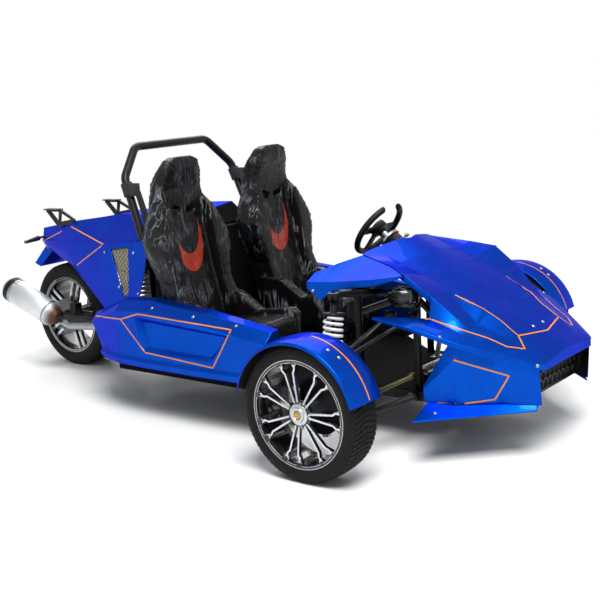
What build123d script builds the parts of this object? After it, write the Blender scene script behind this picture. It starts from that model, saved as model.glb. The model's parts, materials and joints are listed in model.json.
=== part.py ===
"""Reverse trike: two front wheels, one rear wheel, two seats.

All sizes are in mm.  X points forward, Y to the left and Z up.  The origin lies on the ground
under the middle of the box.  Front pieces are placed from the front axle, rear pieces from the
rear axle.  Right-hand pieces are the mirror images of left-hand pieces.
"""
import os
from math import cos, hypot, radians, sin, sqrt

from build123d import *

# Driving sizes
WHEELBASE = 2370
FRONT_TRACK = 1715
NOSE_REACH = 700
TAIL_REACH = 290
FRONT_TYRE_R = 282
FRONT_TYRE_W = 165
REAR_TYRE_R = 302
REAR_TYRE_W = 215
BEAD_R = 216
KINGPIN_INSET = 102
RAIL_BOTTOM = 190
RAIL_SIZE = 40
SKIN = 5
FLOOR_SKIN = 4
SILL_HEIGHT = 25
ROLL_BAR_R = 21
TOWER_R = 17
SEAT_Y = 332
SEAT_WIDTH = 380
PIVOT_R = 625
WHEEL_HUB = (-385, 235, 832)
COLUMN_TILT = 37

# Derived places
FRONT_X = (NOSE_REACH + WHEELBASE + TAIL_REACH) / 2 - NOSE_REACH
REAR_X = FRONT_X - WHEELBASE
WHEEL_Y = FRONT_TRACK / 2
KINGPIN_Y = WHEEL_Y - KINGPIN_INSET
RAIL_TOP = RAIL_BOTTOM + RAIL_SIZE
FLOOR_TOP = RAIL_TOP + FLOOR_SKIN
POD_BOTTOM = RAIL_TOP + SILL_HEIGHT
HUB_Z = FRONT_TYRE_R


def front(f, y, z):
    """Point placed from the front axle."""
    return Vector(FRONT_X + f, y, z)


def rear(r, y, z):
    """Point placed from the rear axle."""
    return Vector(REAR_X + r, y, z)


def solid_box(low, high):
    """Box between two corners."""
    size = high - low
    middle = (low + high) * 0.5
    block = Box(abs(size.X), abs(size.Y), abs(size.Z))
    return Pos(middle.X, middle.Y, middle.Z) * block


def rod(start, end, radius):
    """Round bar between two points."""
    axis = end - start
    return Solid.make_cylinder(radius, axis.length, Plane(origin=start, z_dir=axis))


def bent_tube(points, radius, bend):
    """Round bar bent along the points."""
    path = FilletPolyline(*points, radius=bend)
    profile = Plane(origin=path @ 0, z_dir=path % 0) * Circle(radius)
    return sweep(profile, path)


def mirrored(shape):
    """Right-hand copy of a left-hand shape."""
    return shape.mirror(Plane.XZ)


def offset_line(points, distance):
    """Open line moved sideways to its right by a distance, with mitred corners."""
    normals = []
    for (a0, b0), (a1, b1) in zip(points[:-1], points[1:]):
        length = hypot(a1 - a0, b1 - b0)
        normals.append(((b1 - b0) / length, -(a1 - a0) / length))
    moved = []
    for index, (a, b) in enumerate(points):
        first = normals[max(index - 1, 0)]
        second = normals[min(index, len(normals) - 1)]
        scale = distance / (1 + first[0] * second[0] + first[1] * second[1])
        moved.append((a + (first[0] + second[0]) * scale, b + (first[1] + second[1]) * scale))
    return moved


def strip(points, thickness):
    """Closed outline of an open line with a thickness on its right."""
    return list(points) + offset_line(points, thickness)[::-1]


def mirror_line(points):
    """Full line across the vehicle from a half line that begins at the middle."""
    return [(-y, z) for y, z in points[:0:-1]] + list(points)


def outline_x(x, points):
    """Closed wire in a plane across the vehicle."""
    return Wire.make_polygon([Vector(x, y, z) for y, z in points], close=True)


def loft_x(sections):
    """Straight loft through closed outlines given as (x, points)."""
    return Solid.make_loft([outline_x(x, points) for x, points in sections], True)


def prism_y(points, y0, y1):
    """Outline in side view, extruded across the vehicle."""
    wire = Wire.make_polygon([Vector(x, y0, z) for x, z in points], close=True)
    return Solid.extrude(Face(wire), Vector(0, y1 - y0, 0))


def prism_z(points, z0, z1):
    """Outline in plan view, extruded upward."""
    wire = Wire.make_polygon([Vector(x, y, z0) for x, y in points], close=True)
    return Solid.extrude(Face(wire), Vector(0, 0, z1 - z0))


def turned(points, centre, angle=360, start=0):
    """Outline in (across, radius) turned about an axle along Y."""
    wire = Wire.make_polygon([centre + Vector(r, v, 0) for v, r in points], close=True)
    axis = Axis(centre, Vector(0, 1, 0))
    solid = Solid.revolve(Face(wire), angle, axis)
    return solid.rotate(axis, start) if start else solid


def between(table, place):
    """Row of a table of (place, (a, b), ...) found between two of its rows."""
    rows = sorted(table)
    low = max([row for row in rows[:-1] if row[0] <= place] or [rows[0]])
    high = rows[rows.index(low) + 1]
    part = (place - low[0]) / (high[0] - low[0])
    pairs = zip(low[1:], high[1:])
    return [(a0 + (a1 - a0) * part, b0 + (b1 - b0) * part) for (a0, b0), (a1, b1) in pairs]


# Hood: place ahead of the axle, then (y, z) of spine, strip edge, ridge and wing joint
HOOD_REAR = [
    (-120, (0, 872), (60, 868), (220, 824), (276, 803)),
    (60, (0, 783), (56, 781), (220, 754), (337, 774)),
    (160, (0, 728), (54, 726), (220, 712), (388, 750)),
    (280, (0, 664), (50, 662), (215, 655), (375, 663)),
]
HOOD_FLANGE = 30
# The nose has spine, strip edge, ridge, cheek crease, cheek edge, foot, fin edge and fin hem
HOOD_NOSE = [
    (280, (0, 664), (50, 662), (215, 655), (238, 652), (375, 663), (400, 580), (505, 557), (506, 541)),
    (430, (0, 574), (38, 575), (202, 584), (276, 544), (330, 530), (372, 516), (442, 500), (443, 478)),
    (560, (0, 498), (32, 499), (188, 492), (238, 476), (272, 469), (305, 461), (352, 447), (353, 420)),
    (NOSE_REACH - 18, (0, 428), (26, 428), (150, 416), (178, 413), (202, 411), (225, 408), (250, 402),
     (252, 371)),
    (NOSE_REACH, (0, 414), (24, 414), (130, 405), (152, 402), (172, 400), (190, 398), (214, 393), (216, 368)),
]
HOOD_EDGE_F = -50
HOOD_SWEEP = 70
FIN_TIP = (90, (512, 594), (530, 592), (531, 585))
# Hood wing: free edge or joint with the hood, crease and hem
HOOD_WING = [
    (-245, (462, 746), (518, 717), (520, 688)),
    (-180, (384, 776), (512, 719), (514, 641)),
    (-120, (275, 799), (500, 721), (502, 685)),
    (60, (336, 770), (455, 735), (457, 708)),
    (158, (386, 746), (402, 748), (404, 738)),
]
# Nose side panel: foot, stripe line and head
NOSE_PANEL = [
    (285, (462, 250), (468, 300), (466, 312)),
    (400, (408, 242), (424, 422), (400, 530)),
    (550, (300, 232), (338, 385), (330, 480)),
    (NOSE_REACH - 18, (218, 222), (236, 362), (232, 420)),
]
SPLITTER_EDGE = [(300, (585, 200)), (NOSE_REACH - 30, (246, 203))]
GRILLE_F = 600
GRILLE_DEPTH = 12
GRILLE_POCKET = 8
GRILLE_PITCH = 42
GRILLE_CELL_R = 19


def below(sections, thickness):
    """Space under a shell, down to the ground."""
    closed = []
    for x, line in sections:
        inner = offset_line(line, thickness)
        closed.append((x, inner + [(inner[-1][0], 0), (inner[0][0], 0)]))
    return loft_x(closed)


def hood_sections(table, flange=0):
    """Full outer lines of the hood."""
    sections = []
    for f, *line in table:
        if flange:
            line = line + [(line[-1][0], line[-1][1] - flange)]
        sections.append((FRONT_X + f, mirror_line(line)))
    return sections


def make_hood():
    """Hood skin with nose brow, fins and closed lip; also the space under it."""
    rear_lines = hood_sections(HOOD_REAR, HOOD_FLANGE)
    nose_lines = hood_sections(HOOD_NOSE)
    skin = loft_x([(x, strip(line, SKIN)) for x, line in rear_lines])
    skin = skin + loft_x([(x, strip(line, SKIN)) for x, line in nose_lines])
    lip_x, lip_line = nose_lines[-1]
    lip_wire = outline_x(lip_x, lip_line)
    skin = skin + Solid.extrude(Face(lip_wire), Vector(-SKIN, 0, 0))
    f, *root = HOOD_NOSE[0]
    tip_f, *tip = FIN_TIP
    fin = loft_x([(FRONT_X + f, strip(root[-3:], SKIN)), (FRONT_X + tip_f, strip(tip, SKIN / 2))])
    skin = skin + fin + mirrored(fin)
    corner = HOOD_REAR[0][-1][0]
    half = corner + 30
    edge_f = HOOD_EDGE_F - HOOD_SWEEP * half / corner
    plan = [(HOOD_EDGE_F, 0), (edge_f, half), (-400, half), (-400, -half), (edge_f, -half)]
    skin = skin - prism_z([(FRONT_X + f, y) for f, y in plan], 500, 1200)
    space = below(rear_lines, SKIN) + below(nose_lines, SKIN)
    return skin, space


def make_hood_wing(hood):
    """Wing beside the hood, left-hand side."""
    sections = [(FRONT_X + f, strip(line, SKIN)) for f, *line in HOOD_WING]
    return loft_x(sections) - hood


def make_nose_panel(space):
    """Side wall of the nose, left-hand side, fitted under the hood."""
    sections = [(FRONT_X + f, strip(line[::-1], -SKIN)) for f, *line in NOSE_PANEL]
    return loft_x(sections) & space


def make_splitter(panel):
    """Blade outside the foot of the nose panel, left-hand side."""
    sections = []
    for f, edge in SPLITTER_EDGE:
        foot = between(NOSE_PANEL, f)[0]
        line = [(foot[0] - SKIN - 1, foot[1]), (foot[0] + 2, foot[1]), edge]
        sections.append((FRONT_X + f, strip(line, 6)))
    return loft_x(sections) - panel


def make_grille():
    """Plate with hexagon pockets between the nose panels."""
    foot, stripe, head = between(NOSE_PANEL, GRILLE_F + GRILLE_DEPTH)
    inset = SKIN * 1.12
    half = [(foot[0] - inset, foot[1]), (stripe[0] - inset, stripe[1])]
    outline = [(-y, z) for y, z in half] + half[::-1]
    plate = Solid.extrude(Face(outline_x(FRONT_X + GRILLE_F, outline)), Vector(GRILLE_DEPTH, 0, 0))
    cells = []
    for row in range(3):
        z = foot[1] + 30 + row * GRILLE_PITCH * 0.87
        count = 11 + row % 2
        for column in range(count):
            cells.append((column * GRILLE_PITCH - (count - 1) * GRILLE_PITCH / 2, z))
    limit = foot[0] - 30
    floor_x = FRONT_X + GRILLE_F + GRILLE_DEPTH - GRILLE_POCKET
    for y, z in cells:
        if abs(y) < limit:
            cell = Plane((floor_x, y, z), z_dir=(1, 0, 0)) * RegularPolygon(GRILLE_CELL_R, 6)
            plate = plate - extrude(cell, GRILLE_DEPTH)
    return plate


# Lower rails: centre line of the left side from the nose to the swingarm, as points from an axle
RAIL_FRONT = [(520, 190), (180, 290), (-180, 290), (-420, 480)]
RAIL_REAR = [(1040, 480), (PIVOT_R - 15, 190)]
CROSS_FRONT = [(435, 215), (180, 290), (-180, 290), (-420, 480)]
CROSS_REAR = [(1040, 480), (PIVOT_R + 45, 230)]


def rail_line():
    """Centre line of the left rail in plan."""
    line = [(FRONT_X + f, y) for f, y in RAIL_FRONT]
    return line + [(REAR_X + r, y) for r, y in RAIL_REAR]


def make_frame_rails():
    """Ring of rails with cross members."""
    line = rail_line()
    outer = offset_line(line, RAIL_SIZE / 2)
    inner = offset_line(line, -RAIL_SIZE / 2)
    step = RAIL_SIZE
    inner[0] = (inner[0][0] - step, inner[0][1])
    inner[-1] = (inner[-1][0] + step, inner[-1][1])
    ring = prism_z(outer + [(x, -y) for x, y in outer[::-1]], RAIL_BOTTOM, RAIL_TOP)
    ring = ring - prism_z(inner + [(x, -y) for x, y in inner[::-1]], RAIL_BOTTOM - 1, RAIL_TOP + 1)
    crosses = [(FRONT_X + f, y) for f, y in CROSS_FRONT]
    crosses = crosses + [(REAR_X + r, y) for r, y in CROSS_REAR]
    crosses.append(((FRONT_X - 420 + REAR_X + 1040) / 2, 480))
    for x, y in crosses:
        low = Vector(x - step / 2, -y, RAIL_BOTTOM)
        ring = ring + solid_box(low, Vector(x + step / 2, y, RAIL_TOP))
    plate = [(-40, RAIL_BOTTOM), (45, RAIL_BOTTOM), (30, 345), (-30, 345)]
    outline = [(REAR_X + PIVOT_R + r, z) for r, z in plate]
    for side in (-1, 1):
        ring = ring + prism_y(outline, side * (SWING_Y[1] + 0.3), side * (SWING_Y[1] + 14))
    return ring


def make_floor_pan():
    """Floor plate with a sill under each pod."""
    plan = offset_line(rail_line()[1:-1], RAIL_SIZE / 2)
    floor = prism_z(plan + [(x, -y) for x, y in plan[::-1]], RAIL_TOP, FLOOR_TOP)
    low = Vector(FRONT_X - 425, RAIL_FRONT[-1][1], RAIL_TOP)
    sill = solid_box(low, Vector(REAR_X + 1000, 622, POD_BOTTOM))
    return floor + sill + mirrored(sill)


TOWER_F = 150
TOWER_Y = 290
TOWER_Z = 640
CROSS_BAR_Z = 545
SHOCK_FOOT = (-45, 655, 236)
SHOCK_HEAD = (-52, 590, 668)


def make_front_tower(space):
    """Tubes that carry the arms, the dampers and the hood."""
    tower = None
    for side in (-1, 1):
        y = side * TOWER_Y
        hoop = rod(front(-TOWER_F, y, TOWER_Z), front(TOWER_F, y, TOWER_Z), TOWER_R - 1)
        for f in (-TOWER_F, TOWER_F):
            hoop = hoop + rod(front(f, y, FLOOR_TOP), front(f, y, TOWER_Z + TOWER_R), TOWER_R)
        tower = hoop if tower is None else tower + hoop
    for f, z in ((-TOWER_F, CROSS_BAR_Z), (TOWER_F, TOWER_Z)):
        tower = tower + rod(front(f, -TOWER_Y, z), front(f, TOWER_Y, z), TOWER_R - 2)
    for side in (-1, 1):
        y = side * TOWER_Y
        head = front(SHOCK_HEAD[0], side * (SHOCK_HEAD[1] + 4), SHOCK_HEAD[2] + 22)
        tower = tower + rod(front(SHOCK_HEAD[0], y, TOWER_Z), head, 14)
        cap = front(SHOCK_HEAD[0], side * SHOCK_HEAD[1], SHOCK_HEAD[2])
        tower = tower + rod(cap, cap + Vector(0, 0, 30), 24)
        brace = rod(front(TOWER_F, y, TOWER_Z), front(530, side * 187, RAIL_TOP - 11), 14)
        brace = brace - solid_box(front(100, -400, 0), front(700, 400, RAIL_TOP))
        tower = tower + brace
        post = rod(front(TOWER_F, side * 200, TOWER_Z), front(TOWER_F, side * 200, 900), 10)
        tower = tower + (post & space)
    return tower


LOWER_EYE_Z = 176
UPPER_EYE_Z = 404
EYE_HEIGHT = 34
PIN_R = 12
RUN_GAP = 0.05
ARM_R = 13
UPPER_ARM_R = 10


def make_arm(inner_f, inner_y, inner_z, eye_z, tube_r):
    """One wishbone, left-hand side: two tubes, two bushes and the eye on the kingpin."""
    eye = Vector(FRONT_X, KINGPIN_Y, eye_z)
    low = eye - Vector(0, 0, EYE_HEIGHT / 2)
    arm = rod(low, low + Vector(0, 0, EYE_HEIGHT), 25)
    for f in inner_f:
        bush = front(f, inner_y, inner_z)
        arm = arm + rod(bush - Vector(22, 0, 0), bush + Vector(22, 0, 0), 15)
        arm = arm + rod(bush, eye, tube_r)
    bore = rod(low - Vector(0, 0, 20), low + Vector(0, 0, EYE_HEIGHT + 20), PIN_R + RUN_GAP)
    return arm - bore


def make_suspension_arms():
    """Lower and upper wishbones."""
    lower_y = TOWER_Y + RAIL_SIZE / 2 + 15
    lower = make_arm((-140, 140), lower_y, RAIL_BOTTOM + RAIL_SIZE / 2, LOWER_EYE_Z, ARM_R)
    foot = front(*SHOCK_FOOT)
    lower = lower + rod(foot - Vector(0, 0, 45), foot - Vector(0, 0, 12), 13)
    upper_y = TOWER_Y + TOWER_R + 15
    upper = make_arm((40, TOWER_F), upper_y, 560, UPPER_EYE_Z, UPPER_ARM_R)
    return lower, upper


SPRING_R = 36
SPRING_WIRE = 7
SPRING_TURNS = 9
SPRING_SPAN = (0.34, 0.86)


def make_shock():
    """Damper body, rod and perches, left-hand side."""
    foot = front(*SHOCK_FOOT)
    head = front(*SHOCK_HEAD)
    axis = head - foot
    low = foot + axis * SPRING_SPAN[0]
    high = foot + axis * SPRING_SPAN[1]
    step = axis.normalized()
    body = rod(foot, foot + axis * 0.62, 22) + rod(foot, head, 8)
    body = body + rod(low - step * 8, low, 46) + rod(high, high + step * 8, 46)
    body = body + rod(high, head, 14)
    body = body + rod(foot - Vector(0, 0, 12), foot + Vector(0, 0, 14), 15)
    return body - solid_box(head - Vector(60, 60, 0), head + Vector(60, 60, 60))


def make_spring():
    """Coil spring, left-hand side."""
    foot = front(*SHOCK_FOOT)
    axis = front(*SHOCK_HEAD) - foot
    span = axis.length * (SPRING_SPAN[1] - SPRING_SPAN[0]) - 2 * SPRING_WIRE - 1.4
    start = foot + axis * SPRING_SPAN[0] + axis.normalized() * (SPRING_WIRE + 0.7)
    path = Helix(span / SPRING_TURNS, span, SPRING_R)
    profile = Plane(origin=path @ 0, z_dir=path % 0) * Circle(SPRING_WIRE)
    coil = sweep(profile, path, is_frenet=True)
    return Plane(origin=start, z_dir=axis) * coil


RACK_F = 110
RACK_Z = 285
RACK_HALF = 190
RACK_END_Y = 268
STEER_ARM_Y = -22
STEER_ARM_Z = 299


def make_rack_housing():
    """Rack tube on two feet."""
    tube = rod(front(RACK_F, -RACK_HALF, RACK_Z), front(RACK_F, RACK_HALF, RACK_Z), 24)
    for y in (-150, 150):
        foot = solid_box(front(RACK_F - 14, y - 20, FLOOR_TOP), front(RACK_F + 14, y + 20, RACK_Z))
        tube = tube + foot
    return tube - rod(front(RACK_F, -400, RACK_Z), front(RACK_F, 400, RACK_Z), 10.05)


def make_tie_rods():
    """Rack bar with a tie rod and an outer eye at each end."""
    end_y = KINGPIN_Y + STEER_ARM_Y
    bar = rod(front(RACK_F, -end_y, RACK_Z), front(RACK_F, end_y, RACK_Z), 10)
    for side in (-1, 1):
        bar = bar + rod(front(RACK_F, side * RACK_END_Y, RACK_Z),
                        front(RACK_F, side * (RACK_END_Y + 34), RACK_Z), 15)
        eye = front(RACK_F, side * end_y, RACK_Z - 12)
        bar = bar + rod(eye, eye + Vector(0, 0, STEER_ARM_Z - 0.4 - RACK_Z + 12), 16)
    return bar


SPINDLE_R = 15
HUB_INNER = 34
HUB_OUTER = KINGPIN_INSET + 48
DISC_R = 118
DISC_T = 6
# Fender: across from the wheel middle and radius from the axle
FENDER_LINE = [(-90, 292), (-70, 299), (-12, 304), (62, 303), (102, 297), (108, 286)]
FENDER_SKIN = 4
FENDER_START = 14
FENDER_ANGLE = 152


def make_knuckle(fender):
    """Upright with spindle, steering arm, caliper and fender stay, left-hand side."""
    axis = Vector(FRONT_X, KINGPIN_Y, 0)
    pin_low = axis + Vector(0, 0, LOWER_EYE_Z - EYE_HEIGHT / 2 - 6)
    post_low = axis + Vector(0, 0, LOWER_EYE_Z + EYE_HEIGHT / 2 + 0.4)
    post_high = axis + Vector(0, 0, UPPER_EYE_Z - EYE_HEIGHT / 2 - 0.4)
    stay_high = axis + Vector(0, 0, HUB_Z + FENDER_LINE[0][1] - FENDER_SKIN - 10)
    part = rod(pin_low, stay_high, PIN_R) + rod(post_low, post_high, 25)
    part = part + rod(pin_low - Vector(0, 0, 8), pin_low + Vector(0, 0, 5.6), 18)
    hub = Vector(FRONT_X, 0, HUB_Z)
    part = part + rod(hub + Vector(0, KINGPIN_Y, 0), hub + Vector(0, KINGPIN_Y + HUB_OUTER - 4, 0), SPINDLE_R)
    part = part + rod(hub + Vector(0, KINGPIN_Y, 0), hub + Vector(0, KINGPIN_Y + HUB_INNER - 6, 0), 30)
    arm = [(0, -16), (RACK_F, STEER_ARM_Y - 14), (RACK_F + 14, STEER_ARM_Y), (RACK_F, STEER_ARM_Y + 14), (0, 16)]
    plan = [(FRONT_X + f, KINGPIN_Y + y) for f, y in arm]
    part = part + prism_z(plan, STEER_ARM_Z, STEER_ARM_Z + 12)
    block = solid_box(front(-136, KINGPIN_Y + 18, 250), front(-78, KINGPIN_Y + 60, 345))
    slot = turned([(HUB_INNER - 3, 0), (HUB_INNER - 3, 124), (HUB_INNER + DISC_T + 3, 124),
                   (HUB_INNER + DISC_T + 3, 0)], Vector(FRONT_X, KINGPIN_Y, HUB_Z))
    bracket = solid_box(front(-136, KINGPIN_Y + 2, 280), front(0, KINGPIN_Y + 18, 318))
    part = part + (block - slot) + bracket
    edge, bend = FENDER_LINE[:2]
    ahead = (2 * edge[0] - bend[0], 2 * edge[1] - bend[1])
    inner = offset_line([ahead, bend], FENDER_SKIN + 0.2)
    tab = strip([(inner[0][0] - 10, inner[0][1] - 5.5)] + inner[1:], 6)
    shoe = turned(tab, Vector(FRONT_X, WHEEL_Y, HUB_Z), 16, -98)
    return part + shoe - fender


def make_fender():
    """Cycle fender over the front tyre, left-hand side."""
    outline = strip(FENDER_LINE, FENDER_SKIN)
    centre = Vector(FRONT_X, WHEEL_Y, HUB_Z)
    return turned(outline, centre, FENDER_ANGLE, -FENDER_START - FENDER_ANGLE)


def make_hub():
    """Front hub with brake disc, left-hand side."""
    bore = SPINDLE_R + RUN_GAP
    lines = [(HUB_INNER, bore), (HUB_INNER, DISC_R), (HUB_INNER + DISC_T, DISC_R), (HUB_INNER + DISC_T, 40),
             (HUB_OUTER, 40), (HUB_OUTER, bore)]
    return turned(lines, Vector(FRONT_X, KINGPIN_Y, HUB_Z))


def make_tyre(centre, radius, width, bead_half):
    """Tyre with its bead on the rim."""
    half = width / 2
    line = [(bead_half, BEAD_R), (bead_half, BEAD_R + 11), (half, BEAD_R + 32), (half - 4, radius - 12),
            (half - 17, radius)]
    return turned([(-v, r) for v, r in line] + line[::-1], centre)


def make_barrel(centre, bead_half):
    """Rim barrel with two flanges."""
    line = [(0, BEAD_R), (bead_half, BEAD_R), (bead_half, BEAD_R + 10), (bead_half + 6, BEAD_R + 10),
            (bead_half + 6, BEAD_R - 8), (bead_half - 4, BEAD_R - 13), (0, BEAD_R - 13)]
    return turned(line + [(-v, r) for v, r in line[-2:0:-1]], centre)


def blade(centre, line, width, v0, v1, turn):
    """Flat bar of a wheel along a line of (radius, degrees)."""
    flat = [(r * cos(radians(a)), r * sin(radians(a))) for r, a in line]
    outline = offset_line(flat, -width / 2) + offset_line(flat, width / 2)[::-1]
    bar = prism_y(outline, v0, v1)
    bar = bar.rotate(Axis.Y, turn)
    return bar.moved(Location(centre))


FRONT_BEAD = 70
FRONT_SPOKES = 7
REAR_BEAD = 96
REAR_SPOKES = 5
SPOKE_V = (50, 66)
SPOKE_LINE = [(45, 9.5), (165, 7.2), (208, 13)]
SPOKE_FOOT = [(186, 10.1), (208, 7)]
SPOKE_WIDTH = 8


def make_front_rim():
    """Front rim with forked spokes, left-hand side."""
    centre = Vector(FRONT_X, WHEEL_Y, HUB_Z)
    rim = make_barrel(centre, FRONT_BEAD)
    face = HUB_OUTER - KINGPIN_INSET
    rim = rim + rod(centre + Vector(0, face, 0), centre + Vector(0, SPOKE_V[1], 0), 56)
    rim = rim + rod(centre + Vector(0, SPOKE_V[1], 0), centre + Vector(0, SPOKE_V[1] + 7, 0), 31)
    for index in range(FRONT_SPOKES):
        turn = 360 / FRONT_SPOKES * index
        for side in (-1, 1):
            for table in (SPOKE_LINE, SPOKE_FOOT):
                line = [(r, side * angle) for r, angle in table]
                rim = rim + blade(centre, line, SPOKE_WIDTH, SPOKE_V[0], SPOKE_V[1], turn)
    return rim


AXLE_R = 10


def make_rear_rim():
    """Rear rim with paired bars, disc on the right and sprocket on the left."""
    centre = Vector(REAR_X, 0, REAR_TYRE_R)
    rim = make_barrel(centre, REAR_BEAD)
    rim = rim + turned([(-118, AXLE_R), (-118, 100), (-113, 100), (-113, 38), (112, 38), (112, 92), (119, 92),
                        (119, AXLE_R)], centre)
    for index in range(REAR_SPOKES):
        turn = 360 / REAR_SPOKES * index
        for side in (-1, 1):
            line = [(30, side * 30), (120, side * 9), (208, side * 5.5)]
            rim = rim + blade(centre, line, 13, -86, -62, turn)
    return rim - rod(centre - Vector(0, 200, 0), centre + Vector(0, 200, 0), AXLE_R + RUN_GAP)


SWING_Y = (130, 165)
PIVOT_Z = 300
SPROCKET_R = 115
REAR_HUB_FACE = (-118, 119)


def make_swingarm():
    """Swingarm with pivot tube, bridge, axle and spacers."""
    pivot = rear(PIVOT_R, 0, PIVOT_Z)
    axle = rear(0, 0, REAR_TYRE_R)
    arm = rod(pivot - Vector(0, SWING_Y[1], 0), pivot + Vector(0, SWING_Y[1], 0), 20)
    arm = arm + rod(axle - Vector(0, SWING_Y[1], 0), axle + Vector(0, SWING_Y[1], 0), AXLE_R)
    line = [(PIVOT_R + 28, PIVOT_Z + 26), (PIVOT_R + 28, PIVOT_Z - 26), (-40, REAR_TYRE_R - 24),
            (-40, REAR_TYRE_R + 24)]
    outline = [(REAR_X + r, z) for r, z in line]
    for side in (-1, 1):
        arm = arm + prism_y(outline, side * SWING_Y[0], side * SWING_Y[1])
        face = REAR_HUB_FACE[0] if side < 0 else REAR_HUB_FACE[1]
        arm = arm + rod(axle + Vector(0, side * SWING_Y[0], 0), axle + Vector(0, face + side * 0.5, 0), 20)
    bridge = solid_box(rear(395, -SWING_Y[0], 275), rear(455, SWING_Y[0], 325))
    caliper = solid_box(rear(70, -150, 318), rear(120, -104, 385))
    slot = turned([(-122, 0), (-122, 106), (-109, 106), (-109, 0)], axle)
    return arm + bridge + (caliper - slot)


def make_drive_chain():
    """Chain loop from the engine to the rear sprocket."""
    rear_c = rear(0, 0, REAR_TYRE_R)
    front_c = rear(PIVOT_R + SPROCKET_R, 0, 318)
    loop = make_hull_loop(rear_c, 100, front_c, 42) - make_hull_loop(rear_c, 92.5, front_c, 34.5)
    return loop


def make_hull_loop(first, first_r, second, second_r):
    """Straight-sided loop round two circles, as a prism across the vehicle."""
    plane = Plane(origin=(0, 112, 0), x_dir=(1, 0, 0), z_dir=(0, 1, 0))
    a = plane.to_local_coords(first)
    b = plane.to_local_coords(second)
    outline = make_hull([Pos(a.X, a.Y) * Circle(first_r).edge(), Pos(b.X, b.Y) * Circle(second_r).edge()])
    return extrude(plane * outline, 7)


ROLL_LEAN = 0.368
ROLL_FOOT = (1070, 418, 700)


def make_roll_bar():
    """Hoop with cut corners, leaning back, on two foot plates."""
    r, y, z = ROLL_FOOT
    points = []
    for y_i, z_i in [(y, z), (393, 1136), (257, 1280)]:
        points.append(rear(r - (z_i - z) * ROLL_LEAN, y_i, z_i))
    points = points + [Vector(p.X, -p.Y, p.Z) for p in points[::-1]]
    low = points[0] + (points[0] - points[1]).normalized() * 30
    points[0] = low
    points[-1] = Vector(low.X, -low.Y, low.Z)
    hoop = bent_tube(points, ROLL_BAR_R, 70)
    hoop = hoop - solid_box(rear(r - 200, -600, z - 100), rear(r + 200, 600, z))
    for side in (-1, 1):
        plate = solid_box(rear(r - 38, side * y - 32, z), rear(r + 38, side * y + 32, z + 6))
        hoop = hoop + plate
    return hoop


# Tail: place ahead of the rear axle, then shoulder, waist and hem
TAIL_SIDE = [
    (-70, (185, 757), (172, 728), (150, 700)),
    (320, (305, 775), (312, 715), (302, 650)),
    (770, (408, 796), (438, 665), (475, 470)),
    (1100, (452, 842), (492, 700), (550, 560)),
]
TAIL_TOP = [
    (-70, (0, 806), (165, 822)),
    (320, (0, 865), (225, 885)),
    (730, (0, 905), (250, 936)),
    (985, (0, 905), (295, 940)),
]
VENT = [(772, 776), (932, 798), (985, 572), (930, 556)]
VENT_PITCH = 30
VENT_SLOT = 16
VENT_LIP = 8
MESH_SKIN = 3


def tail_line(r):
    """Half line of the tail cowl with a flange behind the quarter panel."""
    shoulder, waist, hem = between(TAIL_SIDE, r)
    line = between(TAIL_TOP, r)
    inset = 6
    part = 11 / hypot(waist[0] - shoulder[0], waist[1] - shoulder[1])
    edge = (shoulder[0] - inset, shoulder[1] - 1)
    foot = (edge[0] + (waist[0] - shoulder[0]) * part, edge[1] + (waist[1] - shoulder[1]) * part)
    return line + [edge, foot]


def make_tail_cowl():
    """Upper tail shell; also the space under it."""
    lines = [(REAR_X + r, mirror_line(tail_line(r))) for r in (-70, 320, 730, 985)]
    shell = loft_x([(x, strip(line, SKIN)) for x, line in lines])
    return shell, below(lines, SKIN)


def quarter_sections(first, second):
    """Closed sections of the quarter panel between two depths."""
    sections = []
    for r, *line in TAIL_SIDE:
        outer = offset_line(line, first)
        inner = offset_line(line, second)
        sections.append((REAR_X + r, outer + inner[::-1]))
    return sections


def make_quarter_panel(pod):
    """Quarter panel with its vent window, left-hand side."""
    panel = loft_x(quarter_sections(0, SKIN)) - pod
    window = [(REAR_X + r, z) for r, z in VENT]
    return panel - prism_y(window, 100, 700)


def make_vent_mesh():
    """Mesh behind the vent window, left-hand side."""
    middle_r = sum(r for r, z in VENT) / len(VENT)
    middle_z = sum(z for r, z in VENT) / len(VENT)
    wide = []
    for r, z in VENT:
        lip_r = VENT_LIP if r > middle_r else -VENT_LIP
        lip_z = VENT_LIP if z > middle_z else -VENT_LIP
        wide.append((REAR_X + r + lip_r, z + lip_z))
    frame = prism_y(wide, 100, 700)
    mesh = loft_x(quarter_sections(SKIN, SKIN + MESH_SKIN)) & frame
    backing = loft_x(quarter_sections(SKIN + MESH_SKIN, SKIN + 2 * MESH_SKIN)) & frame
    inside = prism_y([(REAR_X + r, z) for r, z in VENT], 100, 700)
    low_r = min(r for r, z in VENT)
    low_z = min(z for r, z in VENT)
    cutter = None
    for row in range(18):
        z = low_z + row * VENT_PITCH / 2
        for column in range(8):
            x = REAR_X + low_r + column * VENT_PITCH + (row % 2) * VENT_PITCH / 2
            hole = Plane((x, 100, z), z_dir=(0, 1, 0)) * Rectangle(VENT_SLOT, VENT_SLOT, rotation=45)
            slot = extrude(hole, 600)
            cutter = slot if cutter is None else cutter + slot
    return (mesh - (cutter & inside)) + backing


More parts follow.
